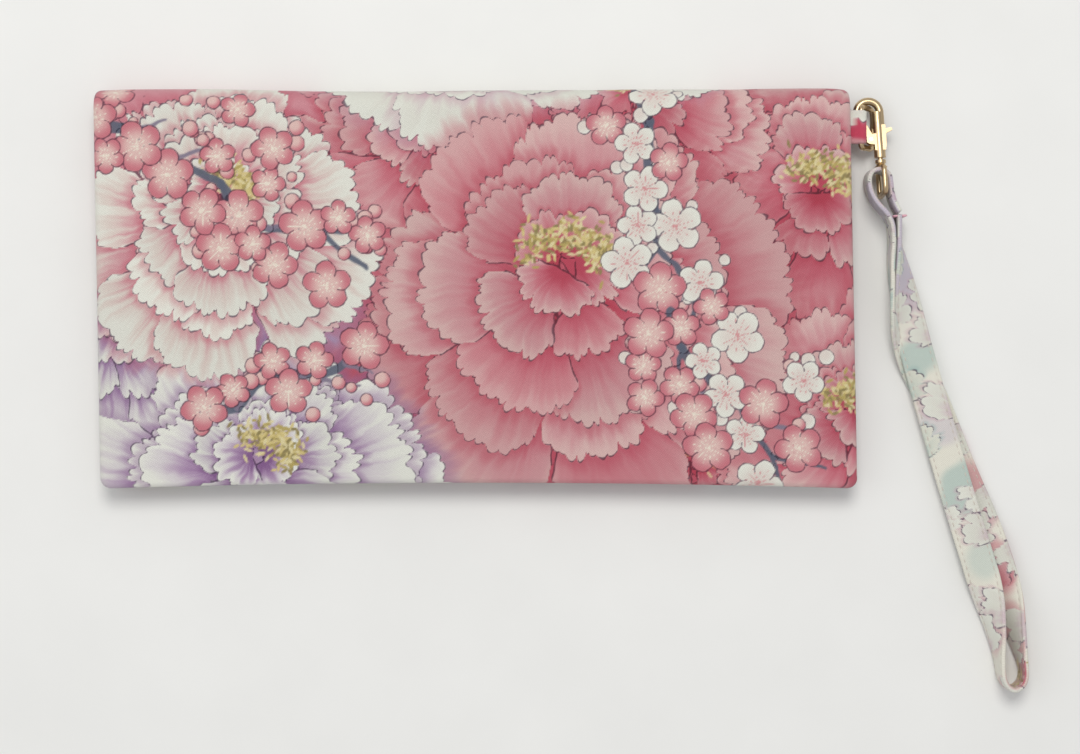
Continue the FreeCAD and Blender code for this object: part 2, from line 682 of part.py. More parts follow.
loop = wire_loop("loop", size["loop_half"], size["loop_top"], size["loop_bar"],
                 [size["loop_corner"]] * 4, size["loop_wire"])
loop.Placement = FreeCAD.Placement(V(size["swivel_x"], 0, 0), FreeCAD.Rotation(V(0, 1, 0), 90))
swivel = fuse("swivel_whole", post, loop)
swivel.Placement = clasp_place
keep(swivel, "swivel_loop")

# ---------------------------------------------------------------- wrist strap
# One tape, doubled: a head folded round the loop, two layers along the table, and a tail fold.


def rounded_path(points, radii=None):
    """Straight runs between the points, joined by tangent arcs as large as the runs allow."""
    edges, last = [], points[0]
    for i in range(1, len(points) - 1):
        back = points[i - 1] - points[i]
        ahead = points[i + 1] - points[i]
        half_turn = (math.pi - back.getAngle(ahead)) / 2
        radius = 0.45 * min(back.Length, ahead.Length) / math.tan(half_turn)
        if radii:
            radius = min(radius, radii[i - 1])
        trim = radius * math.tan(half_turn)
        back.normalize()
        ahead.normalize()
        enter, leave = points[i] + back * trim, points[i] + ahead * trim
        centre = points[i] + (back + ahead).normalize() * (radius / math.cos(half_turn))
        middle = centre + (points[i] - centre).normalize() * radius
        edges.append(Part.LineSegment(last, enter).toShape())
        edges.append(Part.Arc(enter, middle, leave).toShape())
        last = leave
        print(f"  arc {i}: radius {radius:.1f}")
    edges.append(Part.LineSegment(last, points[-1]).toShape())
    return Part.Wire(edges)


def band(path, wide, low, high):
    """A level band of a given width along a flat path, from one height to another."""
    face = path.makeOffset2D(wide / 2, join=0, fill=False, openResult=True)
    other = path.makeOffset2D(-wide / 2, join=0, fill=False, openResult=True)
    ends_a = [face.OrderedVertexes[0].Point, face.OrderedVertexes[-1].Point]
    ends_b = [other.OrderedVertexes[0].Point, other.OrderedVertexes[-1].Point]
    if (ends_a[0] - ends_b[0]).Length > (ends_a[0] - ends_b[1]).Length:
        ends_b.reverse()
    caps = [Part.LineSegment(a, b).toShape() for a, b in zip(ends_a, ends_b)]
    loop_edges = Part.__sortEdges__(face.Edges + other.Edges + caps)
    flat = Part.Face(Part.Wire(loop_edges))
    flat.translate(V(0, 0, low - flat.BoundBox.ZMin))
    return flat.extrude(V(0, 0, high - low))


wide, thick = size["strap_width"], size["strap_thick"]
fold_mid = size["fold_inner"] + thick / 2
head_x = size["swivel_x"] - 1.2
HEAD_Y = size["loop_bar"] + 2.4
head_path = Part.Wire([
    Part.LineSegment(V(6.6, -28.4, 0), V(head_x + fold_mid + 0.1, -24.4, 0)).toShape(),
    Part.LineSegment(V(head_x + fold_mid + 0.1, -24.4, 0), V(head_x + fold_mid, HEAD_Y, 0)).toShape(),
    Part.Arc(V(head_x + fold_mid, HEAD_Y, 0), V(head_x, HEAD_Y + fold_mid, 0),
             V(head_x - fold_mid, HEAD_Y, 0)).toShape(),
    Part.LineSegment(V(head_x - fold_mid, HEAD_Y, 0), V(head_x - fold_mid + 0.5, -24.8, 0)).toShape(),
    Part.LineSegment(V(head_x - fold_mid + 0.5, -24.8, 0), V(4.2, -29.4, 0)).toShape(),
])
head = doc.addObject("Part::Feature", "head")
head.Shape = band(head_path, thick, -wide / 2, wide / 2)
head.Placement = clasp_place
keep(head, "strap_head")

tack = new_body("tack")
tack_face = sketch_on(tack, "XY_Plane", "tack_outline")
outline(tack_face, [("4.1", "0 - 30.3"), ("8", "0 - 29.1"), ("8", "0 - 28.8"), ("4.1", "0 - 29.9")])
pad(tack, tack_face, "Dim.strap_width - 2", middle=True)
tack.Placement = clasp_place
keep(tack, "strap_bar_tack")


def level(x, y):
    return V(x, y, 0)


# The upper layer, from the bar tack to the tail.
upper_route = [
    level(117.6, 19.6), level(119.6, 3.5), level(122.0, -12.5), level(126.8, -30.5),
    level(132.6, -49.6), level(138.2, -68.0), level(142.6, -85.0), level(145.4, -103.0),
]
# The layer under it, which starts on the wallet's side and comes out on the other.
lower_route = [
    level(116.4, 18.8), level(117.0, 4.5), level(120.6, -12.5), level(128.6, -31.0),
    level(135.4, -50.0), level(143.0, -67.0), level(148.0, -84.0), level(151.8, -102.0),
]
for name, route, low in (("strap_upper", upper_route, size["layer_high"]),
                         ("strap_lower", lower_route, 0.0)):
    print(name)
    layer = doc.addObject("Part::Feature", name)
    line = rounded_path(route)
    layer.Shape = band(line, wide, low, low + thick)
    print(f"  length {line.Length:.1f}, volume over section and length "
          f"{layer.Shape.Volume / (wide * thick * line.Length):.3f}")
    keep(layer, name)

tail_path = Part.Wire([
    Part.LineSegment(level(145.6, -103.6), level(146.4, -107.6)).toShape(),
    Part.Arc(level(146.4, -107.6), level(150.2, -111.2), level(153.2, -107.0)).toShape(),
    Part.LineSegment(level(153.2, -107.0), level(152.2, -102.6)).toShape(),
])
tail = doc.addObject("Part::Feature", "tail")
tail.Shape = band(tail_path, thick, 0.0, wide)
keep(tail, "strap_tail")

# ---------------------------------------------------------------- checks and export

doc.recompute()
os.makedirs("parts", exist_ok=True)
for obj in doc.Objects:
    bad = [state for state in obj.State if state in ("Invalid", "Error")]
    if bad:
        raise SystemExit(f"{obj.Name} is {bad}")
for obj in sub_parts:
    shape = obj.Shape
    if shape.isNull() or not shape.isValid() or not shape.Solids:
        raise SystemExit(f"{obj.Label} has no valid solid")
for obj in sub_parts:
    obj.Shape.exportStep(f"parts/{obj.Label}.step")
    bounds = obj.Shape.BoundBox
    print(f"{obj.Label:22s} solids {len(obj.Shape.Solids):3d} volume {obj.Shape.Volume:9.2f}  "
          f"X {bounds.XMin:7.2f} {bounds.XMax:7.2f}  Y {bounds.YMin:7.2f} {bounds.YMax:7.2f}  "
          f"Z {bounds.ZMin:6.2f} {bounds.ZMax:6.2f}")
print(len(sub_parts), "sub-parts")
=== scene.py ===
"""The looks of a floral wristlet wallet that lies closed, seen from straight above."""

import math

import bmesh
import bpy
import numpy as np
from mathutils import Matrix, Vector

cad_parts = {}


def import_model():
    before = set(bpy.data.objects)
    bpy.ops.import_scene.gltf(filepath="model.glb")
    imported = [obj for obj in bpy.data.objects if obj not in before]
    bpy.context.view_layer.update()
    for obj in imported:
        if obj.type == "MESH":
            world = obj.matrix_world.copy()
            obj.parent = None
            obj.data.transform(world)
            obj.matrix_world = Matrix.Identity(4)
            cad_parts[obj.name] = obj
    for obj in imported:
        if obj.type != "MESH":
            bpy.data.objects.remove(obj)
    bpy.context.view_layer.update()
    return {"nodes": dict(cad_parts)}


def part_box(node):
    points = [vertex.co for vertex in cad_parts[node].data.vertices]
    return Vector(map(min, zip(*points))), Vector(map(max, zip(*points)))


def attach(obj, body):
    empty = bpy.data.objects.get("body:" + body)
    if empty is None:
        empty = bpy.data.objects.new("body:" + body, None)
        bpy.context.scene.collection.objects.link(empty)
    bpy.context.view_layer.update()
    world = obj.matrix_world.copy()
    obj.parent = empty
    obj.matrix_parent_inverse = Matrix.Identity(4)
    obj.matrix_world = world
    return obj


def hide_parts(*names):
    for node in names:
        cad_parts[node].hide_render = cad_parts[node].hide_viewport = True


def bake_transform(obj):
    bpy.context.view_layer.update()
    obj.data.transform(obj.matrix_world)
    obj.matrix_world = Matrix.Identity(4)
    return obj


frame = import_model()
MM = 0.001

# ---- dimensions, in millimetres
HALF_W, HALF_H, THICK = 104.5, 55.5, 13.0
CORNER = 3.0                  # radius of the corners seen from above
ROLL = 1.42                   # radius of the rolled edge of the padded cover
FOLD_R, FOLD_Y = 6.5, 49.0    # the fold along the top edge
FOLD_END = FOLD_Y + FOLD_R * math.pi / 2
HEM = 1.6                     # how far the cover turns in past its roll
PITCH = 0.37                  # spacing of the printed cloth's mesh
LEAN = 0.019                  # the real wallet lies a little askew
VIEW_X, VIEW_Y, VIEW_W, VIEW_UP = 17.5, -24.9, 299.2, 620.0


def smooth(low, high, value):
    """0 below low, 1 above high and an S-curve between them."""
    t = np.clip((value - low) / (high - low), 0.0, 1.0)
    return t * t * (3 - 2 * t)


def lattice(ix, iy, seed):
    """A fixed number from 0 to 1 for each lattice point."""
    n = np.sin(ix * 127.1 + iy * 311.7 + seed * 74.7) * 43758.5453
    return n - np.floor(n)


def noise(x, y, seed=0.0):
    """Smooth value noise from 0 to 1, with one lattice cell per unit."""
    ix, iy = np.floor(x), np.floor(y)
    fx, fy = smooth(0, 1, x - ix), smooth(0, 1, y - iy)
    low = lattice(ix, iy, seed) * (1 - fx) + lattice(ix + 1, iy, seed) * fx
    high = lattice(ix, iy + 1, seed) * (1 - fx) + lattice(ix + 1, iy + 1, seed) * fx
    return low * (1 - fy) + high * fy


def rgb(*values):
    return np.array(values, float) / 255


def linear(colour):
    """sRGB to the linear colours that shaders use."""
    c = np.clip(np.asarray(colour, float), 0, 1)
    return np.where(c <= 0.04045, c / 12.92, ((c + 0.055) / 1.055) ** 2.4)


# ---- meshes
def new_object(name, data):
    """An object in the scene that holds a mesh, a curve, a light or a camera."""
    obj = bpy.data.objects.new(name, data)
    bpy.context.scene.collection.objects.link(obj)
    return obj


def link(mesh, cloth, welded=False):
    """Puts a mesh into the scene as a smooth piece of the same name."""
    material, slot = cloth
    obj = new_object(mesh.name, mesh)
    mesh.materials.append(material)
    mesh.shade_smooth()
    mesh.update()
    if welded:
        weld(mesh)
    return obj


def weld(mesh, distance=0.00002):
    """Joins the points that lie together, as on the edges where two layers meet."""
    bm = bmesh.new()
    bm.from_mesh(mesh)
    bmesh.ops.remove_doubles(bm, verts=bm.verts, dist=distance)
    bmesh.ops.recalc_face_normals(bm, faces=bm.faces)
    bm.to_mesh(mesh)
    bm.free()
    mesh.update()


def mesh_of(name, points, faces, extra=()):
    """A mesh from points in millimetres and a table of quads, with any extra faces."""
    mesh = bpy.data.meshes.new(name)
    mesh.from_pydata((points * MM).tolist(), [], faces.tolist() + list(extra))
    return mesh


def unit_of(vectors):
    return vectors / np.linalg.norm(vectors, axis=-1, keepdims=True)


def grid_faces(rows, columns, wrap=False):
    """Quads of a grid whose points run row by row; wrap joins the last column to the first."""
    i = np.arange(rows - 1)[:, None]
    j = np.arange(columns if wrap else columns - 1)[None, :]
    k = (j + 1) % columns
    quads = [i * columns + j, i * columns + k, (i + 1) * columns + k, (i + 1) * columns + j]
    return np.stack(quads, -1).reshape(-1, 4)


def stacked_faces(rows, columns):
    """Quads of two stacked grids of one size, the second turned over."""
    top = grid_faces(rows, columns)
    return np.concatenate([top, top[:, ::-1] + rows * columns])


def rim_faces(rows, columns):
    """Quads that join the outlines of two stacked grids."""
    point = np.arange(rows * columns).reshape(rows, columns)
    loop = np.concatenate([point[0, :-1], point[:-1, -1], point[-1, :0:-1], point[:0:-1, 0]])
    ahead = np.roll(loop, -1)
    return np.stack([ahead, loop, loop + point.size, ahead + point.size], 1)


def tube_faces(rings, sides):
    """Quads of a tube whose points run ring by ring, and the two faces that close its ends."""
    first = list(range(sides))
    return grid_faces(rings, sides, wrap=True), [first[::-1], [k + (rings - 1) * sides for k in first]]


def put(mesh, name, values):
    """Stores a number, vector or colour for each point of a mesh."""
    values = np.asarray(values, np.float32)
    if values.ndim == 1:
        mesh.attributes.new(name, "FLOAT", "POINT").data.foreach_set("value", values)
    elif name == "paint":
        four = np.insert(values, 3, 1, axis=1)
        mesh.attributes.new(name, "FLOAT_COLOR", "POINT").data.foreach_set("color", four.ravel())
    else:
        mesh.attributes.new(name, "FLOAT_VECTOR", "POINT").data.foreach_set("vector", values.ravel())


# ---- materials
class Nodes:
    """A material with one Principled shader, and short ways to add nodes to it."""

    def __init__(self, name, **sockets):
        self.material = bpy.data.materials.new(name)
        self.material.use_nodes = True
        self.tree = self.material.node_tree
        self.shader = self.tree.nodes["Principled BSDF"]
        for key, value in sockets.items():
            self.shader.inputs[key.replace("_", " ")].default_value = value

    def add(self, kind, links=(), **settings):
        node = self.tree.nodes.new(kind)
        for key, value in settings.items():
            if key in node.inputs.keys():
                node.inputs[key].default_value = value
            else:
                setattr(node, key, value)
        for socket, source in dict(links).items():
            self.tree.links.new(source, node.inputs[socket])
        return node

    def feed(self, socket, value):
        """Sets a socket to a number or a colour, or links an output to it."""
        if isinstance(value, (int, float)):
            socket.default_value = value
        elif isinstance(value, np.ndarray):
            socket.default_value = (*value, 1.0)
        else:
            self.tree.links.new(value, socket)

    def math(self, operation, a, b):
        node = self.add("ShaderNodeMath", operation=operation)
        self.feed(node.inputs[0], a)
        self.feed(node.inputs[1], b)
        return node.outputs[0]

    def mix(self, kind, factor, a, b):
        node = self.add("ShaderNodeMix", data_type="RGBA", blend_type=kind)
        for index, value in ((0, factor), (6, a), (7, b)):
            self.feed(node.inputs[index], value)
        return node.outputs[2]

    def into(self, socket, source):
        self.tree.links.new(source, self.shader.inputs[socket])

    def stored(self, name, output):
        """What put() stored for each point."""
        return self.add("ShaderNodeAttribute", attribute_name=name).outputs[output]

    def place(self):
        """The piece's own coordinates, in metres."""
        return self.add("ShaderNodeTexCoord").outputs["Object"]

    def noise(self, coords, scale, detail):
        node = self.add("ShaderNodeTexNoise", {"Vector": coords}, Scale=scale, Detail=detail)
        return node.outputs["Fac"]

    def span(self, source, start, end, kind="LINEAR"):
        """Takes values between the two of start to values between the two of end."""
        node = self.add("ShaderNodeMapRange", {"Value": source}, interpolation_type=kind)
        for key, value in zip(("From Min", "From Max", "To Min", "To Max"), start + end):
            node.inputs[key].default_value = value
        return node.outputs[0]

    def ramp(self, factor, stops):
        node = self.add("ShaderNodeValToRGB", {"Fac": factor})
        ramp = node.color_ramp
        while len(ramp.elements) < len(stops):
            ramp.elements.new(0.5)
        for element, (position, colour) in zip(ramp.elements, stops):
            element.position = position
            element.color = (*colour, 1.0)
        return node.outputs["Color"]


THREAD_ANGLES = (0.62, -0.95)         # the two ways the threads run
INK_CORE, INK_FADE = 0.10, 0.36       # half widths of an outline, in millimetres


def weave(nodes, coords, pitch, depth):
    """Bump of a crepe weave with the given thread pitch, for coordinates in millimetres."""
    heights = []
    for angle in THREAD_ANGLES:
        turned = nodes.add("ShaderNodeMapping", {"Vector": coords}, vector_type="POINT")
        turned.inputs["Rotation"].default_value = (0, 0, angle)
        wave = nodes.add("ShaderNodeTexWave", {"Vector": turned.outputs[0]}, Scale=0.314 / pitch,
                         Distortion=1.6, Detail=1.5)
        wave.inputs["Detail Scale"].default_value = 1.2
        heights.append(wave.outputs["Fac"])
    fine = nodes.noise(coords, 1.1 / pitch, 2.0)
    both = nodes.math("MULTIPLY", heights[0], heights[1])
    height = nodes.math("ADD", both, nodes.math("MULTIPLY", fine, 0.7))
    slow = nodes.noise(coords, 0.16, 3.0)
    bump = nodes.add("ShaderNodeBump", {"Height": height}, Strength=0.55, Distance=depth * MM)
    soft = nodes.add("ShaderNodeBump", {"Height": slow, "Normal": bump.outputs[0]}, Strength=0.35,
                     Distance=0.5 * MM)
    nodes.into("Normal", soft.outputs[0])
    return height


def printed_material(name, pitch=0.5, depth=0.16):
    """Printed crepe: painted colours, brush outlines and the weave, with painted shade in the weave's hollows
    and a painted highlight on its raised threads.
    """
    n = Nodes(name, Roughness=0.78, Sheen_Weight=0.22, Sheen_Roughness=0.5, Specular_IOR_Level=0.3)
    coords = n.stored("cloth", "Vector")
    height = weave(n, coords, pitch, depth)
    wobble = n.math("MULTIPLY", n.math("SUBTRACT", n.noise(coords, 0.9, 2.0), 0.5), 0.22)
    far = n.math("ADD", n.stored("ink", "Fac"), wobble)
    line = n.span(far, (INK_CORE, INK_FADE), (0.85, 0.0), "SMOOTHSTEP")
    inked = n.mix("MULTIPLY", line, n.stored("paint", "Color"), linear(rgb(122, 108, 132)))
    # painted shade and highlight: the print is darkened where the weave lies low and lightened where it
    # stands high
    thread = n.span(height, (0.2, 1.1), (0.86, 1.06))
    shade = n.add("ShaderNodeCombineColor", {"Red": thread, "Green": thread, "Blue": thread})
    n.into("Base Color", n.mix("MULTIPLY", 1.0, inked, shade.outputs[0]))
    return n.material


def plain_cloth(name, colour, pitch=0.4, depth=0.12, sheen=0.3, roughness=0.8):
    """A plain woven cloth in object coordinates, with slightly uneven dye and painted shade where its weave
    lies low.
    """
    n = Nodes(name, Roughness=roughness, Sheen_Weight=sheen, Sheen_Roughness=0.4, Specular_IOR_Level=0.3)
    scaled = n.add("ShaderNodeMapping", {"Vector": n.place()})
    scaled.inputs["Scale"].default_value = (1 / MM, 1 / MM, 1 / MM)
    coords = scaled.outputs[0]
    height = weave(n, coords, pitch, depth)
    base = linear(colour)
    dye = n.ramp(n.noise(coords, 0.07, 4.0), [(0.3, base * 0.97), (0.7, np.minimum(base * 1.02, 1))])
    # painted shade: the dye is darkened where the weave lies low, following the bump's height
    weave_shade = n.ramp(height, [(0.2, (0.6, 0.6, 0.6)), (0.9, (1, 1, 1))])
    n.into("Base Color", n.mix("MULTIPLY", 0.35, dye, weave_shade))
    return n.material


def sewing_thread(name, colour, sheen=0.4, roughness=0.55):
    return plain_cloth(name, colour, pitch=0.25, depth=0.1, sheen=sheen, roughness=roughness), "thread"


def metal(name, colour, roughness):
    """Polished plated metal with faint polishing marks and uneven plating."""
    n = Nodes(name, Metallic=1.0)
    place = n.place()
    marks = n.noise(place, 420.0, 4.0)
    n.into("Roughness", n.span(marks, (0.0, 1.0), (roughness * 0.6, roughness * 1.6)))
    base = linear(colour)
    plating = [(0.35, base * 0.9), (0.65, np.minimum(base * 1.06, 1))]
    n.into("Base Color", n.ramp(n.noise(place, 90.0, 2.0), plating))
    bump = n.add("ShaderNodeBump", {"Height": marks}, Strength=0.05, Distance=0.05 * MM)
    n.into("Normal", bump.outputs[0])
    return n.material


# Cloths: each is a material and the name of its slot.
PRINTED = (printed_material("printed_crepe"), "printed_fabric")
STRAP_PRINT = (printed_material("printed_strap", pitch=0.42, depth=0.12), "strap_fabric")
TAB_PRINT = (STRAP_PRINT[0], "printed_fabric")
LINING = (plain_cloth("lining_cotton", rgb(214, 186, 196)), "lining_fabric")
POCKET = (plain_cloth("card_pocket_cotton", rgb(226, 214, 216), pitch=0.45), "card_pocket_fabric")
TAPE = (plain_cloth("zip_tape_weave", rgb(186, 168, 186), pitch=0.6, depth=0.2, sheen=0.15), "zip_tape")
THREAD_PINK = sewing_thread("thread_pink", rgb(232, 176, 188))
THREAD_CREAM = sewing_thread("thread_cream", rgb(214, 204, 192), sheen=0.3, roughness=0.6)
THREAD_WHITE = sewing_thread("thread_white", rgb(232, 226, 220))
GOLD = metal("champagne_gold", rgb(204, 180, 142), 0.3)
STEEL = metal("spring_steel", rgb(190, 188, 186), 0.22)
MAGNET = metal("magnet_nickel", rgb(160, 158, 160), 0.35)

# ---- the print
# Tones run from a petal's base to its rim.
PINK = (rgb(176, 66, 84), rgb(190, 104, 116), rgb(199, 144, 147), rgb(210, 178, 172))
ROSE = (rgb(172, 58, 76), rgb(184, 90, 104), rgb(194, 126, 132), rgb(204, 162, 160))
WHITE = (rgb(190, 146, 160), rgb(206, 188, 190), rgb(218, 217, 205), rgb(222, 223, 211))
BLUSH = (rgb(186, 92, 108), rgb(200, 136, 144), rgb(214, 200, 190), rgb(222, 223, 211))
VIOLET = (rgb(126, 88, 132), rgb(162, 134, 164), rgb(206, 200, 200), rgb(222, 223, 211))
TEAL = (rgb(140, 174, 170), rgb(178, 196, 188), rgb(208, 212, 198), rgb(220, 219, 204))
BUD_PINK = (rgb(218, 184, 176), rgb(196, 114, 124))
BUD_WHITE = (rgb(218, 208, 198), rgb(224, 224, 212))
LAVENDER = rgb(158, 148, 178)
LILAC = rgb(194, 184, 196)
SLATE = rgb(88, 94, 110)
TWIG = rgb(126, 116, 134)
CREAM = rgb(232, 224, 206)
BLOSSOM_RED = rgb(206, 138, 140)
GOLDS = (rgb(176, 158, 92), rgb(208, 190, 128), rgb(140, 126, 80), rgb(218, 206, 158))
NO_INK = 5.0                          # a distance at which no outline shows
LOBE, TOOTH = 8.5, 3.1                # widths of a petal's scallops and of the small bites in them
PEONY_RINGS = ((1.0, 8), (0.8, 7), (0.6, 6), (0.42, 5), (0.25, 3))    # each ring's reach and petals


class Print:
    """A print painted in layers over the points of a piece, with its outlines kept as distances."""

    def __init__(self, x, y, ground):
        self.x, self.y = np.asarray(x, float), np.asarray(y, float)
        self.colour = np.tile(ground, (len(x), 1)).astype(float)
        self.ink = np.full(len(x), NO_INK)
        self.wx, self.wy = self.x + self.tremble(1, 2), self.y + self.tremble(3, 4)

    def tremble(self, slow, quick):
        """The unsteadiness of a hand-drawn line, in millimetres; slow and quick are seeds."""
        return (1.5 * (noise(self.x / 6, self.y / 6, slow) - 0.5)
                + 0.7 * (noise(self.x / 2, self.y / 2, quick) - 0.5))

    def near(self, cx, cy, reach):
        return np.nonzero((np.abs(self.x - cx) < reach) & (np.abs(self.y - cy) < reach))[0]

    def lay(self, where, alpha, colour):
        a = alpha[:, None]
        self.colour[where] = self.colour[where] * (1 - a) + colour * a

    def outline(self, where, depth, thin=0.0):
        """depth is the distance inside the outline; what it covers is wiped."""
        old = self.ink[where]
        inside = depth > 0
        self.ink[where] = np.where(inside, depth + thin, np.minimum(old, -depth + thin))

    def wash(self, cx, cy, wide, high, colour, strength=1.0):
        """A soft-edged patch of colour."""
        where = self.near(cx, cy, max(wide, high) * 1.5)
        wobble = 0.5 * (noise(self.x[where] / 7, self.y[where] / 7, cx) - 0.5)
        far = np.hypot((self.x[where] - cx) / wide, (self.y[where] - cy) / high) + wobble
        self.lay(where, strength * (1 - smooth(0.6, 1.1, far)), colour)

    def petal(self, base, tip, spread, tones, seed=0.0, feather=0.13):
        """A fan of colour from its base to a scalloped rim through its tip; spread is half its angle."""
        long = math.hypot(tip[0] - base[0], tip[1] - base[1])
        aim = math.atan2(tip[1] - base[1], tip[0] - base[0])
        half = math.radians(spread)
        arc = 2 * half * long
        lobes, teeth = max(2, round(arc / LOBE)), max(4, round(arc / TOOTH))
        where = self.near(base[0], base[1], long * 1.3)
        if not len(where):
            return
        dx, dy = self.wx[where] - base[0], self.wy[where] - base[1]
        r = np.hypot(dx, dy) + 1e-6
        u = ((np.arctan2(dy, dx) - aim + math.pi) % (2 * math.pi) - math.pi) / half
        close = (np.abs(u) < 1.3) & (r < long * 1.25)
        where, r, u = where[close], r[close], u[close]
        tones = np.array(tones) * (1 + 0.05 * (lattice(seed, base[0], 1) - 0.5))
        sway = 0.9 * (noise(u * lobes * 0.45, 0 * u, seed + 3) - 0.5)
        big = np.abs(np.sin(((u * 0.5 + 0.5) * lobes + sway) * math.pi)) ** 0.6
        small = np.abs(np.sin(((u * 0.5 + 0.5) * teeth + 1.6 * sway) * math.pi)) ** 0.55
        bite = 0.55 + 0.9 * noise(u * teeth * 0.4, 0 * u, seed + 7)
        rim = long * (1 - 0.06 * u**2 - 0.26 * np.abs(u) ** 5)
        rim = rim + 2.4 * (big - 0.6) + 1.7 * bite * (small - 0.7)
        side = (1 - np.abs(u)) * half * r
        depth = np.minimum(rim - r, side)
        cast = smooth(-long * 0.15, 0, rim - r) * smooth(-0.25, 0.1, 1 - np.abs(u)) * (depth < 0)
        self.lay(where, 0.38 * cast * smooth(0.25, 0.6, r / rim), tones[0])
        edge = depth > -2.5
        where, u, r, rim, depth = where[edge], u[edge], r[edge], rim[edge], depth[edge]
        streak = (noise(u * 12 + 9, r / long * 1.4, seed) * 0.65
                  + noise(u * 30, r / long * 2.5, seed + 5) * 0.35)
        q = r / rim + feather * (streak - 0.5) - 0.08 * np.abs(u) ** 2
        tone = tones[0] + (tones[1] - tones[0]) * smooth(0.15, 0.50, q)[:, None]
        tone += (tones[2] - tone) * smooth(0.44, 0.78, q)[:, None]
        tone += (tones[3] - tone) * smooth(0.74, 0.98, q)[:, None] * 0.9
        self.lay(where, smooth(-0.2, 0.2, depth), tone)
        self.outline(where, depth)

    def disc(self, cx, cy, radius, tones, heart=None, size=None):
        """A round petal or bud; its colour deepens away from the flower's heart, or from its own middle."""
        where = self.near(cx, cy, radius + 1.5)
        dx, dy = self.x[where] - cx, self.y[where] - cy
        r = np.hypot(dx, dy) * (1 + 0.12 * (noise(dx * 0.9 + cx, dy * 0.9 + cy, 2) - 0.5))
        hx, hy = heart or (cx - 0.3 * radius, cy + 0.4 * radius)
        far = np.hypot(self.x[where] - hx, self.y[where] - hy) / (size or 1.5 * radius)
        tone = tones[0] + (tones[1] - tones[0]) * smooth(0.3, 0.95, far)[:, None]
        self.lay(where, 1 - smooth(radius - 0.2, radius + 0.2, r), tone)
        self.outline(where, radius - r, 0.04)

    def blossom(self, cx, cy, size, white, turn=0.0):
        """A plum blossom: five round petals and a star of stamens with dots at their ends."""
        tones, stamen = (BUD_WHITE, BLOSSOM_RED) if white else (BUD_PINK, CREAM)
        for index in range(5):
            a = turn + index * 2 * math.pi / 5
            at = (cx + 0.61 * size * math.cos(a), cy + 0.61 * size * math.sin(a))
            self.disc(*at, 0.41 * size, tones, (cx, cy), size)
        where = self.near(cx, cy, size)
        dx, dy = self.x[where] - cx, self.y[where] - cy
        r, a = np.hypot(dx, dy), np.arctan2(dy, dx)
        self.lay(where, 1 - smooth(0.2 * size, 0.3 * size, r), tones[0])
        ray = np.abs(np.sin((a - turn) * 6.5)) * r
        star = (1 - smooth(0.2, 0.6, ray)) * (1 - smooth(0.6 * size, 0.72 * size, r))
        self.lay(where, 0.9 * star, stamen)
        hide = where[r < 0.45 * size]
        self.ink[hide] = np.maximum(self.ink[hide], 0.5)

    def ring(self, cx, cy, reach, count, tones, draw, feather=0.13):
        """One ring of petals round a heart, laid in no set order."""
        start = draw.random() * 360
        for index in draw.permutation(count):
            a = math.radians(start + 360 * index / count + draw.normal() * 7)
            near, far = 0.15 * reach, reach * draw.uniform(0.82, 1.1)
            base = (cx + near * math.cos(a), cy + near * math.sin(a))
            tip = (cx + far * math.cos(a), cy + far * math.sin(a))
            spread = 360 / count * draw.uniform(0.55, 0.86)
            self.petal(base, tip, spread, tones[index % len(tones)], draw.random() * 50, feather)

    def stroke(self, points, wide, colour):
        """A brush stroke along a few points that tapers to its end."""
        total = len(points) - 1
        for index in range(total):
            (ax, ay), (bx, by) = points[index], points[index + 1]
            span = math.hypot(bx - ax, by - ay)
            where = self.near((ax + bx) / 2, (ay + by) / 2, span / 2 + wide + 1)
            dx, dy = self.wx[where] - ax, self.wy[where] - ay
            t = np.clip((dx * (bx - ax) + dy * (by - ay)) / span**2, 0, 1)
            far = np.hypot(dx - t * (bx - ax), dy - t * (by - ay))
            thick = wide * (1 - 0.6 * (index + t) / total) / 2
            self.lay(where, 0.92 * (1 - smooth(thick - 0.2, thick + 0.25, far)), colour)

    def stamens(self, points, wide, count, seed):
        """A band of gold specks along a line."""
        draw = np.random.default_rng(seed)
        points = np.array(points, float)
        for index in range(count):
            t = draw.random() * (len(points) - 1)
            k = int(t)
            spot = points[k] + (points[k + 1] - points[k]) * (t - k)
            x, y = spot + draw.normal(size=2) * wide * 0.45
            where = self.near(x, y, 3)
            lean = draw.random() * math.pi
            dx, dy = self.x[where] - x, self.y[where] - y
            along = dx * math.cos(lean) + dy * math.sin(lean)
            across = -dx * math.sin(lean) + dy * math.cos(lean)
            far = np.hypot(along / draw.uniform(0.8, 1.6), across / 0.5)
            self.lay(where, 0.92 * (1 - smooth(0.6, 1.1, far)), GOLDS[index % len(GOLDS)])
            self.ink[where] = np.where(far < 1.1, NO_INK, self.ink[where])

    def peony(self, cx, cy, size, tones, seed, feather=0.13, lift=0.35):
        """A peony: rings of petals, the outer ones first, whose heart stands towards its upper side."""
        draw = np.random.default_rng(seed)
        for reach, count in PEONY_RINGS:
            up = lift * size * (1 - reach)
            self.ring(cx, cy + up, size * reach, count, tones, draw, feather)
        heart = cy + lift * size * 0.78
        arc = np.radians(draw.uniform(-40, 20) + np.linspace(0, 150, 5))
        crescent = [(cx + 0.17 * size * math.cos(a), heart + 0.1 * size * math.sin(a)) for a in arc]
        self.stamens(crescent, 0.1 * size, int(5 * size), seed)

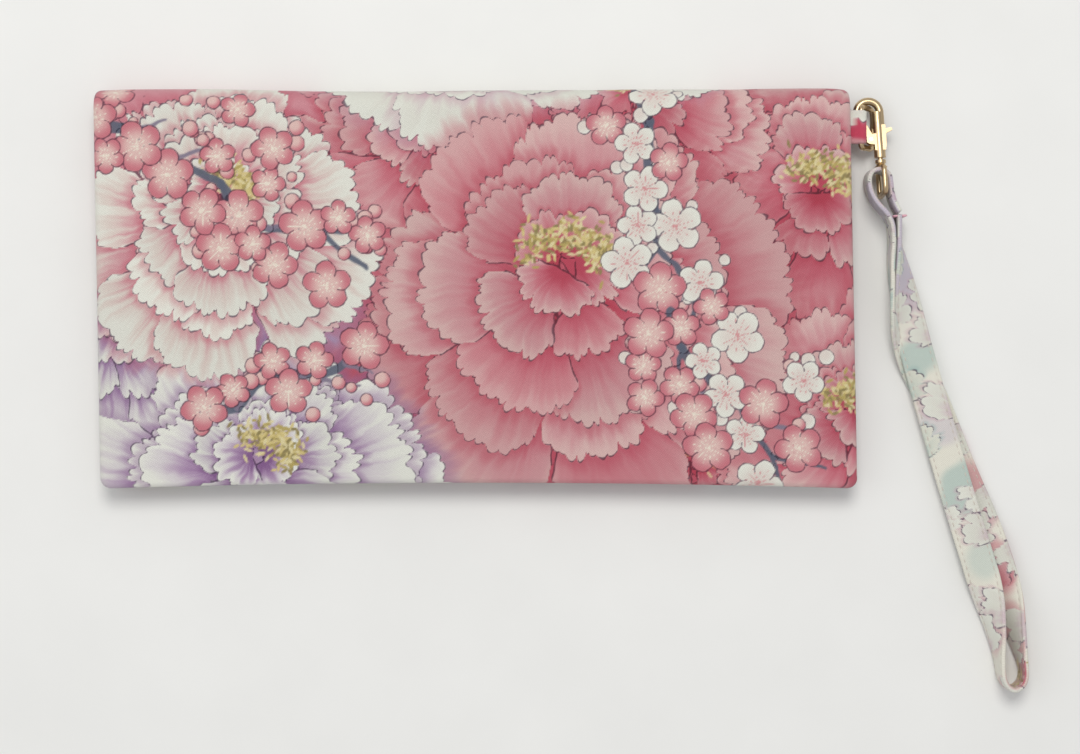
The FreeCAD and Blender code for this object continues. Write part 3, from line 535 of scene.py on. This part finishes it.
    def drift(self, start, end, wide, count, whites, seed):
        """Plum blossom and buds scattered along a twig and its shoots; whites is the share of white ones."""
        draw = np.random.default_rng(seed)
        start, end = np.array(start, float), np.array(end, float)
        along = unit_of(end - start)
        across = np.array([-along[1], along[0]])
        steps = np.linspace(0, 1, 7)
        stem = [start + (end - start) * t + across * draw.normal() * wide * 0.25 for t in steps]
        self.stroke(stem, 3.2, SLATE)
        tips = []
        for joint in stem[1:-1]:
            lean = along + across * draw.choice([-1, 1]) * draw.uniform(0.6, 1.3)
            tip = joint + unit_of(lean) * draw.uniform(0.7, 1.3) * wide
            self.stroke([joint, tip], 1.5, draw.choice([SLATE, TWIG]))
            tips.append(tip)
        taken = []
        for _ in range(count * 12):
            spot = start + (end - start) * draw.random() + across * draw.normal() * wide * 0.55
            size = draw.uniform(4.8, 7.4)
            if len(taken) < count and all(math.dist(spot, at) > 0.72 * (size + other) for at, other in taken):
                taken.append((spot, size))
        spots = [spot for spot, _ in taken] + tips
        for _ in range(2 * count):
            x, y = spots[draw.integers(len(spots))] + np.clip(draw.normal(size=2), -1.2, 1.2) * 5.5
            self.disc(x, y, draw.uniform(1.4, 2.3), BUD_WHITE if draw.random() < whites else BUD_PINK)
        for (x, y), size in taken:
            self.blossom(x, y, size, draw.random() < whites, draw.random() * 6)


PINKS = (PINK, ROSE)


def front_motifs(p):
    """The flap: pink peonies on the right, blush and violet ones on the left, and drifts of blossom."""
    p.wash(25, 0, 160, 90, ROSE[1])
    p.wash(95, 55, 40, 18, LAVENDER)
    p.wash(-90, -35, 60, 35, VIOLET[1])
    p.wash(-85, 35, 60, 40, BLUSH[1])
    p.wash(-35, 0, 20, 20, LAVENDER)
    p.peony(95, 15, 50, PINKS, 31)
    p.peony(60, -60, 45, PINKS, 32)
    p.peony(-10, 35, 45, PINKS, 39)
    p.peony(45, 45, 40, PINKS, 40)
    p.peony(105, -45, 45, PINKS, 45)
    p.peony(-100, -15, 35, (VIOLET,), 33, 0.34)
    p.peony(0, 85, 45, (WHITE,), 34, 0.3, 0.0)
    p.peony(50, 80, 30, (WHITE, BLUSH), 35, 0.3, 0.0)
    p.peony(25, -10, 65, PINKS, 36)
    p.peony(-60, -60, 50, (VIOLET,), 37, 0.34)
    p.peony(-70, 15, 45, (BLUSH,), 38, 0.34)
    p.drift((-110, 50), (-30, 5), 11, 18, 0.0, 41)
    p.drift((-75, -35), (-30, -15), 9, 6, 0.0, 42)
    p.drift((45, 55), (60, -10), 9, 10, 0.6, 43)
    p.drift((50, -10), (85, -55), 13, 17, 0.35, 44)


def back_motifs(p):
    """The same flowers strewn over the fold and the back panel; y runs on along the cloth."""
    p.wash(0, 115, 160, 90, ROSE[1])
    p.wash(-60, 90, 40, 30, LAVENDER)
    p.wash(80, 150, 45, 30, VIOLET[1])
    kinds = ((PINKS, 0.13), ((BLUSH,), 0.34), (PINKS, 0.13), ((VIOLET,), 0.34), ((WHITE, BLUSH), 0.3))
    places = ((-95, 95), (95, 85), (-30, 160), (90, 150), (-90, 155), (30, 110), (-45, 100))
    draw = np.random.default_rng(51)
    for index, (x, y) in enumerate(places):
        tones, feather = kinds[index % len(kinds)]
        p.peony(x, y, draw.uniform(38, 50), tones, 60 + index, feather)
    p.drift((-40, 65), (20, 100), 11, 11, 0.3, 52)
    p.drift((20, 165), (60, 100), 11, 12, 0.6, 53)
    p.drift((-105, 110), (-55, 130), 10, 9, 0.2, 54)


def paint(mesh, x, y, motifs, ground=PINK[0], cloth=None):
    """Prints motifs on a mesh; cloth is where its points lie on the weave, if not at x and y."""
    p = Print(x, y, ground)
    for part in motifs:
        part(p)
    put(mesh, "paint", linear(p.colour))
    put(mesh, "ink", p.ink)
    along, across = cloth or (x, y)
    put(mesh, "cloth", np.stack([along, across, 0 * along], 1))


# ---- the padded cover
def askew(points):
    """The real wallet's slight lean, the dip along its fold and the curl of its free edge."""
    x, y = points[:, 0].copy(), points[:, 1].copy()
    dip = 0.5 - 0.9 * np.exp(-((x + 22) / 48) ** 2)
    curl = 1.6 * (1 - (x / HALF_W) ** 2) - 0.4
    points[:, 0] = 1.006 * x - 0.5 - LEAN * y
    points[:, 1] = y + dip * smooth(10, 54, y) + curl * smooth(-15, -55, y)
    return points


def cover_half(front):
    """Points of one half of the cover: its flat, its rolled edges with their hem, and half of the fold."""
    flat_x, flat_y = HALF_W - CORNER, HALF_H - CORNER
    reach = CORNER - ROLL + math.pi * ROLL + HEM
    columns = int(2 * (flat_x + reach) / PITCH)
    rows = int((flat_y + reach + FOLD_END) / PITCH)
    x, s = np.meshgrid(np.linspace(-flat_x - reach, flat_x + reach, columns),
                       np.linspace(-flat_y - reach, FOLD_END, rows))
    x, s = x.ravel(), s.ravel()
    cx, cs = np.clip(x, -flat_x, flat_x), np.maximum(s, -flat_y)
    dx, ds = x - cx, s - cs
    length = np.hypot(dx, ds)
    outward = np.maximum(np.abs(dx), np.abs(ds))
    e = outward - (CORNER - ROLL)
    turned = np.clip(e, 0, math.pi * ROLL)
    rolled = CORNER - ROLL + ROLL * np.sin(turned / ROLL) - np.maximum(e - math.pi * ROLL, 0)
    radial = np.where(e < 0, outward, rolled)
    drop = ROLL * (1 - np.cos(turned / ROLL))
    scale = np.where(length > 1e-9, radial / np.maximum(length, 1e-9), 0)
    px, ps = cx + dx * scale, cs + ds * scale
    inset = np.minimum(HALF_W - np.abs(px), ps + HALF_H)
    face = 1 - smooth(0, 2.5, drop)
    puff = -0.55 * np.exp(-np.maximum(inset, 0) / 5) * face
    waves = 0.55 * (noise(px / 34, ps / 26, 5) - 0.5) + 0.22 * (noise(px / 9, ps / 9, 6) - 0.5)
    pucker = 0.12 * (noise(px / 2.4, ps / 2.4, 7) - 0.5) * np.exp(-np.maximum(inset, 0) / 3)
    h = -drop + puff + (waves + pucker) * face * smooth(0, 6, inset + 2) - 0.25 * face
    bend = np.clip((ps - FOLD_Y) / FOLD_R, 0, math.pi / 2)
    y = np.where(ps < FOLD_Y, ps, FOLD_Y + (FOLD_R + h) * np.sin(bend))
    z = np.where(ps < FOLD_Y, THICK + h, FOLD_R + (FOLD_R + h) * np.cos(bend))
    if not front:
        z = THICK - z
    points = askew(np.stack([px, y, z], 1))
    return points, rows, columns, x, s


def cover(name, front):
    points, rows, columns, x, s = cover_half(front)
    faces = grid_faces(rows, columns)
    if not front:
        faces = faces[:, ::-1]
    mesh = mesh_of(name, points, faces)
    along = s if front else 2 * FOLD_END - s
    paint(mesh, x, along, (back_motifs, front_motifs))
    return link(mesh, PRINTED)


cover_front = cover("cover_front", True)
cover_back = cover("cover_back", False)
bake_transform(cover_front)
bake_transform(cover_back)
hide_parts("flap_shell")
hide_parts("back_shell", "spine_shell")


# ---- cloth panels inside
def slab(name, low, high, cloth, lean=True, step=1.6, soft=0.45, wave=0.06):
    """A flat piece of cloth between two corners, with turned, softly rounded edges and a hem ridge."""
    (x0, y0, z0), (x1, y1, z1) = low, high
    nx, ny = max(8, int((x1 - x0) / step)), max(6, int((y1 - y0) / step))

    def spaced(a, b, n):
        inner = np.linspace(a + soft, b - soft, n)
        return np.concatenate([[a, a + soft * 0.3], inner, [b - soft * 0.3, b]])

    x, y = np.meshgrid(spaced(x0, x1, nx), spaced(y0, y1, ny))
    inset = np.minimum(np.minimum(x - x0, x1 - x), np.minimum(y - y0, y1 - y))
    half = (z1 - z0) / 2
    bulge = half * np.sqrt(np.clip(1 - (1 - np.clip(inset / soft, 0, 1)) ** 2, 0, 1))
    hem = 1 - 0.22 * np.exp(-((inset - 2.4) / 0.5) ** 2)
    sway = wave * (noise(x / 13, y / 11, x0 + y0) - 0.5) * smooth(0, 6, inset)
    middle = (z0 + z1) / 2
    layers = [np.stack([x, y, middle + sway + sign * bulge * hem], -1) for sign in (1, -1)]
    points = np.concatenate(layers).reshape(-1, 3)
    mesh = mesh_of(name, askew(points) if lean else points, stacked_faces(*x.shape))
    return link(mesh, cloth, welded=True)


def corners_of(node):
    low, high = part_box(node)
    return tuple(v / MM for v in low), tuple(v / MM for v in high)


def piece_for(obj, node, body):
    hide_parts(node)
    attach(obj, body)


def panel(name, node, body, cloth, half_wide=None, lean=True):
    """A cloth panel in the place of a CAD node, riding on its body; half_wide sets its own width."""
    low, high = corners_of(node)
    if half_wide:
        low, high = (-half_wide,) + low[1:], (half_wide,) + high[1:]
    obj = slab(name, low, high, cloth, lean)
    piece_for(obj, node, body)


def capsules(name, starts, ends, outs, wide, high, thread, body):
    """Thread stitches: a small flattened capsule from each start to its end, raised along its out."""
    sides, rings = 8, 7
    t = np.linspace(0, 1, rings)[:, None, None]
    swell = np.sqrt(np.clip(1 - (2 * t - 1) ** 4, 0, 1))
    swell[0] = swell[-1] = 0.15
    angle = (np.arange(sides) * 2 * math.pi / sides)[:, None]
    starts, ends, outs = (np.asarray(v, float)[:, None, None] for v in (starts, ends, outs))
    along = unit_of(ends - starts)
    side = unit_of(np.cross(along, outs))
    up = np.cross(side, along)
    centre = starts + (ends - starts) * t + up * (0.5 * high * np.sin(math.pi * t) - 0.15 * high)
    section = side * np.cos(angle) * wide / 2 + up * np.sin(angle) * high / 2
    points = (centre + section * swell).reshape(-1, 3)
    one, ends_of_one = tube_faces(rings, sides)
    first = (np.arange(len(starts)) * rings * sides)[:, None, None]
    faces = (one + first).reshape(-1, 4)
    caps = (ends_of_one + first).reshape(-1, sides).tolist()
    obj = link(mesh_of(name, points, faces, caps), thread)
    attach(obj, body)
    return obj


def stitch_row(a, b, z, gap=2.6, length=1.7, out=(0, 0, 1)):
    """Starts, ends and outs of a straight row of stitches."""
    a, b = np.array([*a, z], float), np.array([*b, z], float)
    span = np.linalg.norm(b - a)
    count = int(span / gap)
    first = (span - (count - 1) * gap - length) / 2
    starts = a + unit_of(b - a) * (first + gap * np.arange(count))[:, None]
    return starts, starts + unit_of(b - a) * length, [out] * count


def stitching(name, rows, thread, body, wide, high, lean=False):
    """Rows of stitches as one piece; lean puts them on cloth that leans with the wallet."""
    starts, ends, outs = (np.concatenate(part) for part in zip(*rows))
    if lean:
        starts, ends = askew(starts), askew(ends)
    return capsules(name, starts, ends, outs, wide, high, thread, body)


for name, node, body, on in (("lining_back", "back_lining", "root", "cover_back"),
                             ("lining_flap", "flap_lining", "flap", "cover_front"),
                             ("coin_pocket_divider", "coin_pocket_back", "root", "lining_back"),
                             ("coin_pocket_front", "coin_panel_lower", "root", "coin_pocket_divider"),
                             ("coin_pocket_top", "coin_panel_upper", "root", "coin_pocket_divider")):
    panel(name, node, body, LINING)
for name, node, on in (("zip_tape_low", "zip_tape_lower", "coin_pocket_front"),
                       ("zip_tape_top", "zip_tape_upper", "coin_pocket_top")):
    panel(name, node, "root", TAPE, half_wide=101.0, lean=False)
card_rows = []
for side in ("left", "right"):
    for number in (1, 2, 3):
        node = f"card_pocket_{side}_{number}"
        panel(f"card_slot_{side}_{number}", node, "flap", POCKET)
        low, high = corners_of(node)
        start, end = (low[0] + 1.5, high[1] - 2.2), (high[0] - 1.5, high[1] - 2.2)
        card_rows.append(stitch_row(start, end, low[2], out=(0, 0, -1)))


def swept(name, path, wide, z0, z1, closed, cloth):
    """A flat strip of doubled cloth along a path seen from above, with soft edges."""
    path = np.array(path, float)
    n = len(path)
    back = np.roll(path, 1, 0)
    ahead = np.roll(path, -1, 0)
    if not closed:
        back[0], ahead[-1] = 2 * path[0] - path[1], 2 * path[-1] - path[-2]
    a, b = unit_of(path - back), unit_of(ahead - path)
    leftwards = np.array([(0, 1), (-1, 0)])
    normal = unit_of((a + b) @ leftwards)
    normal /= np.maximum(0.5, np.abs((normal * (a @ leftwards)).sum(1)))[:, None]
    turn = np.linspace(0, 2 * math.pi, 20, endpoint=False)
    across = np.sign(np.cos(turn)) * np.abs(np.cos(turn)) ** 0.45 * wide / 2
    rise = np.sign(np.sin(turn)) * np.abs(np.sin(turn)) ** 0.7 * (z1 - z0) / 2
    points = np.zeros((n, len(turn), 3))
    points[..., :2] = path[:, None] + normal[:, None] * across[:, None]
    points[..., 2] = (z0 + z1) / 2 + rise
    points = points.reshape(-1, 3)
    faces, caps = tube_faces(n, len(turn))
    if closed:
        j = np.arange(len(turn))
        k = (j + 1) % len(turn)
        last = (n - 1) * len(turn)
        faces = np.concatenate([faces, np.stack([last + j, last + k, k, j], 1)])
        caps = []
    return link(mesh_of(name, askew(points), faces, caps), cloth, welded=True)


def along_box(low, high, inset, radius, step=3.0, open_top=False):
    """A path round a rectangle with rounded corners, or round three sides of it, open at its upper side."""
    x0, y0, x1, y1 = low[0] + inset, low[1] + inset, high[0] - inset, high[1] - inset
    bends = []
    for x, y, start in ((x0, y1, 90), (x0, y0, 180), (x1, y0, 270), (x1, y1, 0)):
        centre = np.clip((x, y), (x0 + radius, y0 + radius), (x1 - radius, y1 - radius))
        angles = np.radians(np.linspace(start, start + 90, 7))
        bends.append(centre + radius * np.stack([np.cos(angles), np.sin(angles)], 1))
    if open_top:
        bends[0], bends[3] = np.array([(x0, y1)]), np.array([(x1, y1)])
    points = []
    for index, bend in enumerate(bends):
        points.extend(bend)
        if open_top and index == 3:
            break
        here, there = bend[-1], bends[(index + 1) % 4][0]
        count = max(1, int(np.linalg.norm(there - here) / step))
        points.extend(here + (there - here) * k / count for k in range(1, count))
    return points


SEAM_INSET, SEAM_RADIUS, SEAM_WIDE = 2, 3, 4
for name, node, open_top in (("note_pocket_seam", "note_pocket_gusset", True),
                             ("coin_pocket_seam", "coin_pocket_gusset", False)):
    low, high = corners_of(node)
    path = along_box(low, high, SEAM_INSET, SEAM_RADIUS, open_top=open_top)
    seam = swept(name, path, SEAM_WIDE, low[2], high[2], not open_top, LINING)
    piece_for(seam, node, "root")


def fold_lining(name, front):
    """The lining's stretch over the inner side of the fold."""
    xs = np.linspace(-HALF_W + 1.6, HALF_W - 1.6, 130)
    ss = np.linspace(FOLD_Y - 2.0, FOLD_END, 26)
    x, s = (v.ravel() for v in np.meshgrid(xs, ss))
    bend = np.clip((s - FOLD_Y) / FOLD_R, 0, math.pi / 2)
    layers = []
    for inward in (2.15, 2.6):
        radius = FOLD_R - inward + 0.12 * (noise(x / 7, s / 4, 9) - 0.5)
        y = np.where(s < FOLD_Y, s, FOLD_Y + radius * np.sin(bend))
        z = FOLD_R + radius * np.cos(bend)
        layers.append(np.stack([x, y, z if front else THICK - z], 1))
    size = (len(ss), len(xs))
    faces = np.concatenate([stacked_faces(*size), rim_faces(*size)])
    return link(mesh_of(name, askew(np.concatenate(layers)), faces), LINING, welded=True)


fold_front = fold_lining("fold_lining_front", True)
fold_back = fold_lining("fold_lining_back", False)
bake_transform(fold_front)
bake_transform(fold_back)

stitching("card_slot_stitches", card_rows, THREAD_PINK, "flap", wide=0.5, high=0.36, lean=True)
panel_low, panel_top = corners_of("coin_panel_lower")[1], corners_of("coin_panel_upper")[0]
zip_rows = [stitch_row((-97, y), (97, y), panel_low[2]) for y in (panel_low[1] - 1.8, panel_top[1] + 1.8)]
stitching("coin_pocket_stitches", zip_rows, THREAD_WHITE, "root", wide=0.45, high=0.34)


# ---- side tab
def tab_motifs(p):
    p.wash(103, 39.5, 9, 2.6, PINK[2])
    p.petal((104, 56), (104, 46.2), 40, WHITE, 2)


def side_tab():
    """A short loop of printed cloth whose two layers lie together and open round the ring's bar."""
    low, high = corners_of("side_tab")
    bar_x, bar_z, eye, eye_start = 107.1, 8.6, 1.5, 105.2
    leg_top, leg_low = 9.6, 8.4
    leg = low[0] + np.linspace(0.8, 7.2, 14)
    turn = np.radians(np.linspace(125, -125, 30))
    profile = np.concatenate([[(low[0], leg_low + 0.6), (low[0] + 0.1, leg_top)],
                              [(x, leg_top) for x in leg],
                              np.stack([bar_x + eye * np.cos(turn), bar_z + eye * np.sin(turn)], 1),
                              [(x, leg_low) for x in leg[::-1]],
                              [(low[0] + 0.1, leg_low)]])
    leg_middle = (leg_top + leg_low) / 2
    centre = np.array([np.clip(profile[:, 0], low[0] + 0.7, bar_x),
                       np.where(profile[:, 0] > eye_start, bar_z, leg_middle)]).T
    ys = np.linspace(low[1], high[1], 30)
    edge = np.minimum(ys - low[1], high[1] - ys)
    roundness = np.sqrt(np.clip(1 - (1 - np.clip(edge / 0.5, 0, 1)) ** 2, 0, 1))
    shrink = 1 - 0.45 * (1 - roundness)
    points = np.zeros((len(ys), len(profile), 3))
    points[..., ::2] = centre + (profile - centre) * shrink[:, None, None]
    points[..., 1] = ys[:, None]
    seam_y, seam_wide, seam_deep = 41.6, 0.35, 0.1
    seam = seam_deep * np.exp(-((ys - seam_y) / seam_wide) ** 2)[:, None]
    points[..., 2] -= np.where(profile[:, 1] > leg_middle + 0.2, seam, 0)
    points = points.reshape(-1, 3)
    mesh = mesh_of("side_tab_loop", points, *tube_faces(len(ys), len(profile)))
    paint(mesh, points[:, 0], points[:, 1], (tab_motifs,), rgb(194, 66, 90))
    return link(mesh, TAB_PRINT)


piece_for(side_tab(), "side_tab", "root")
tab_row = stitch_row((98.2, 41.9), (105.6, 41.9), 9.58, gap=1.9, length=1.4)
tab_thread = stitching("side_tab_thread", [tab_row], THREAD_PINK, "root", wide=0.3, high=0.24)
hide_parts("tab_stitches")


# ---- wrist strap
TAPE_W, TAPE_T, STITCH_INSET = 9.5, 1.4, 1.1
# the tape's line, from the metal loop round the strap's end and back, folded round the loop
ROUTE = [
    (117.5, 20.6, 7.3), (118.2, 12.0, 6.4), (119.8, 1.0, 5.2), (121.8, -12.5, 3.9),
    (127.0, -30.5, 3.5), (132.4, -49.6, 3.5), (138.0, -68.0, 3.6), (142.6, -83.0, 4.2),
    (145.3, -95.0, 5.2), (146.3, -104.0, 5.4), (146.9, -110.6, 5.4), (150.3, -113.0, 5.4),
    (153.5, -109.4, 5.4), (152.2, -102.4, 5.3), (150.0, -92.0, 4.4), (148.0, -83.0, 3.1),
    (143.0, -67.0, 1.3), (135.4, -50.0, 1.0), (128.2, -31.0, 1.1), (121.0, -17.0, 2.2),
    (116.6, -5.0, 5.0), (115.8, 6.0, 5.8), (116.1, 16.0, 6.8), (114.6, 20.2, 7.2),
    (111.2, 23.6, 7.1), (109.2, 27.6, 6.9), (109.2, 32.0, 6.7), (112.0, 33.2, 6.6),
    (115.0, 31.8, 6.6), (115.3, 27.4, 6.8), (116.0, 23.6, 7.1), (117.6, 20.9, 7.3),
]
# turn of the tape about its line, in degrees, at shares of its length:
# on edge, face up, on edge, face down, on edge
TURNS = [(0.0, 90), (0.03, 100), (0.11, 176), (0.14, 182), (0.33, 183), (0.375, 235), (0.415, 268),
         (0.47, 270), (0.50, 290), (0.55, 345), (0.60, 360), (0.76, 360), (0.81, 420), (0.835, 446),
         (0.88, 450), (1.0, 450)]


def spline_points(route, name):
    """Points along the NURBS line whose control points are the route."""
    curve = bpy.data.curves.new(name, "CURVE")
    curve.dimensions = "3D"
    spline = curve.splines.new("NURBS")
    spline.points.add(len(route) - 1)
    for point, place in zip(spline.points, route):
        point.co = (*(v * MM for v in place), 1)
    spline.order_u = 3
    spline.use_endpoint_u = True
    spline.resolution_u = 32
    holder = new_object(name, curve)
    bpy.context.view_layer.update()
    mesh = bpy.data.meshes.new_from_object(holder)
    line = np.array([v.co for v in mesh.vertices]) / MM
    bpy.data.objects.remove(holder)
    bpy.data.meshes.remove(mesh)
    return line


def evenly(line, step):
    gone = np.concatenate([[0], np.cumsum(np.linalg.norm(np.diff(line, axis=0), axis=1))])
    count = int(gone[-1] / step)
    at = np.linspace(0, gone[-1], count)
    return np.stack([np.interp(at, gone, line[:, k]) for k in range(3)], 1), at


def strap_motifs(p):
    """Petals from both edges, over lavender and teal washes and a pink stretch; x runs along the tape."""
    draw = np.random.default_rng(71)
    for x in range(0, 320, 20):
        colours = (PINK[2], ROSE[1]) if 105 < x < 215 else (LILAC, TEAL[0], TEAL[1])
        tint = colours[draw.integers(len(colours))]
        p.wash(x, draw.uniform(-4, 4), draw.uniform(7, 11), draw.uniform(5, 8), tint, 0.45)
    for x in (0, 300):
        p.wash(x, 0, 34, 26, LILAC, 0.9)
    for index, x in enumerate(np.arange(2, 318, 9.5)):
        edge = (-1) ** index
        kinds = (WHITE, PINK, WHITE, ROSE) if 105 < x < 215 else (WHITE, WHITE, TEAL)
        base = (x + draw.normal() * 2, -12 * edge)
        tip = (x + draw.uniform(-8, 8), draw.uniform(-2, 2.5) * edge)
        p.petal(base, tip, draw.uniform(24, 32), kinds[draw.integers(len(kinds))], index * 2.3)
    p.stamens([(140, 2), (150, -2)], 3, 40, 6)


def tape_section():
    """The tape's section: two faces with a dent along each row of stitches, and thin edges."""
    half_w, half_t = TAPE_W / 2, TAPE_T / 2
    across = np.linspace(-half_w + 0.35, half_w - 0.35, 25)
    inset = half_w - np.abs(across)
    dent = 0.3 * np.exp(-((inset - STITCH_INSET) / 0.3) ** 2)
    face = np.stack([across, half_t * (1 - dent - 0.12 * np.exp(-(inset / 1.2) ** 2))], 1)
    edge = np.array([(half_w - 0.1, 0.5 * half_t), (half_w, 0), (half_w - 0.1, -0.5 * half_t)])
    return np.concatenate([face, edge, face[::-1] * (1, -1), edge[::-1] * (-1, 1)])


def tape_frame(line, at):
    """The directions across the tape and out of its face, at each point of its line."""
    tangent = unit_of(np.gradient(line, axis=0))
    level = unit_of(np.cross([0, 0, 1], tangent))
    rise = np.cross(tangent, level)
    shares, degrees = zip(*TURNS)
    turn = np.radians(np.interp(at / at[-1], shares, degrees))
    kernel = np.hanning(31)
    turn = np.convolve(np.pad(turn, 15, mode="edge"), kernel / kernel.sum(), mode="valid")
    wide = level * np.cos(turn)[:, None] + rise * np.sin(turn)[:, None]
    return wide, np.cross(wide, tangent)


def edge_stitches(line, wide, face, step):
    """Stitches along both edges of the tape, on both of its faces."""
    gap, length = int(2.3 / step), int(1.5 / step)
    k = np.arange(4, len(line) - gap, gap)
    rows = []
    for sign in (1, -1):
        for edge in (-1, 1):
            rail = line + wide * (edge * (TAPE_W / 2 - STITCH_INSET)) + face * sign * (TAPE_T / 2 * 0.72)
            rows.append((rail[k], rail[k + length], face[k] * sign))
    return stitching("strap_stitches", rows, THREAD_CREAM, "strap", wide=0.26, high=0.2)


def strap():
    """The strap's tape, its edge stitches and its line."""
    line, at = evenly(spline_points(ROUTE, "strap_line"), 0.42)
    wide, face = tape_frame(line, at)
    profile = tape_section()
    n = len(profile)
    wave = 0.18 * (noise(at[:, None] / 7, profile[:, 0] / 5, 3) - 0.5)
    points = (line[:, None] + wide[:, None] * profile[:, :1]
              + face[:, None] * (profile[:, 1] + wave)[..., None])
    faces, caps = tube_faces(len(line), n)
    mesh = mesh_of("strap_tape", points.reshape(-1, 3), faces[:, ::-1], [cap[::-1] for cap in caps])
    along, side = np.repeat(at, n), np.tile(profile[:, 0], len(line))
    back = np.tile(profile[:, 1] < -0.01, len(line))
    paint(mesh, along + np.where(back, 4.0, 0.0), np.where(back, -side, side), (strap_motifs,),
          rgb(228, 225, 210), (along, side))
    tape = link(mesh, STRAP_PRINT)
    return tape, edge_stitches(line, wide, face, at[1] - at[0]), line


strap_tape, strap_thread, strap_line = strap()
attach(strap_tape, "strap")
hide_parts("strap_head", "strap_upper", "strap_lower", "strap_tail")


def bar_tack():
    """Close zigzag of thread that holds the strap's two layers together under the metal loop."""
    low, high = corners_of("strap_bar_tack")
    near, far, sway, count = 19.6, 20.2, 0.3, 16
    starts, ends = [], []
    for k in range(count):
        z = low[2] + (high[2] - low[2]) * (k + 0.5) / count
        starts.append((low[0] - 0.2, near + sway * (k % 2), z))
        ends.append((high[0] + 0.2, far - sway * (k % 2), z + 0.2))
    return capsules("strap_tack_thread", starts, ends, [(0, 0, 1)] * count, 0.55, 0.5, THREAD_PINK, "strap")


tack = bar_tack()
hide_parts("strap_bar_tack")

# ---- metal parts: the CAD's own shapes
METALS = ((GOLD, ("d_ring", "hook_body", "hook_gate", "swivel_loop", "zip_teeth_lower",
                  "zip_teeth_upper", "zip_stops", "zip_slider", "zip_pull", "snap_stud", "snap_cup")),
          (STEEL, ("gate_pin", "gate_spring")),
          (MAGNET, ("snap_magnet",)))
for material, names in METALS:
    for name in names:
        node = frame["nodes"][name]
        node.data.materials.clear()
        node.data.materials.append(material)
        if not name.startswith("zip_teeth"):
            bevel = node.modifiers.new("soft_edges", "BEVEL")
            bevel.width = 0.00012
            bevel.segments = 2
            bevel.limit_method = "ANGLE"
            bevel.angle_limit = math.radians(35)
            bevel.harden_normals = True
        node.data.shade_smooth()


# ---- floor, light and camera
def floor():
    n = Nodes("floor_paper", Roughness=0.85, Specular_IOR_Level=0.2)
    shades = [(0.3, linear(rgb(232, 232, 228))), (0.7, linear(rgb(235, 235, 231)))]
    n.into("Base Color", n.ramp(n.noise(n.place(), 30.0, 3.0), shades))
    size, level = 2000.0, -0.15
    points = np.array([(x, y, level) for y in (-size, size) for x in (-size, size)])
    mesh = mesh_of("floor", points, grid_faces(2, 2))
    mesh.materials.append(n.material)
    obj = new_object("floor", mesh)


def lamp(name, place, aim, size, energy, colour):
    data = bpy.data.lights.new(name, "AREA")
    data.shape, data.size, data.energy, data.color = "DISK", size, energy, colour
    obj = new_object(name, data)
    place, aim = Vector(place), Vector(aim)
    obj.location = place
    obj.rotation_euler = (aim - place).to_track_quat("-Z", "Y").to_euler()


def world():
    w = bpy.data.worlds.new("studio")
    w.use_nodes = True
    background = w.node_tree.nodes["Background"]
    background.inputs["Color"].default_value = (0.95, 0.96, 1.0, 1)
    background.inputs["Strength"].default_value = 0.55
    bpy.context.scene.world = w


floor()
world()
target = (0.01, -0.01, 0.0)
lamp("key", (0.02, 0.40, 1.0), target, 0.45, 5.5, (1.0, 0.985, 0.96))
lamp("fill", (-0.6, 0.1, 1.0), target, 0.9, 1.5, (1.0, 0.99, 0.98))

camera_data = bpy.data.cameras.new("camera")
camera = new_object("camera", camera_data)
camera.location = (VIEW_X * MM, VIEW_Y * MM, (THICK + VIEW_UP) * MM)
camera_data.angle = 2 * math.atan(VIEW_W / 2 / VIEW_UP)
camera_data.clip_start = 0.01
bpy.context.scene.camera = camera
bpy.context.scene.view_settings.view_transform = "Standard"
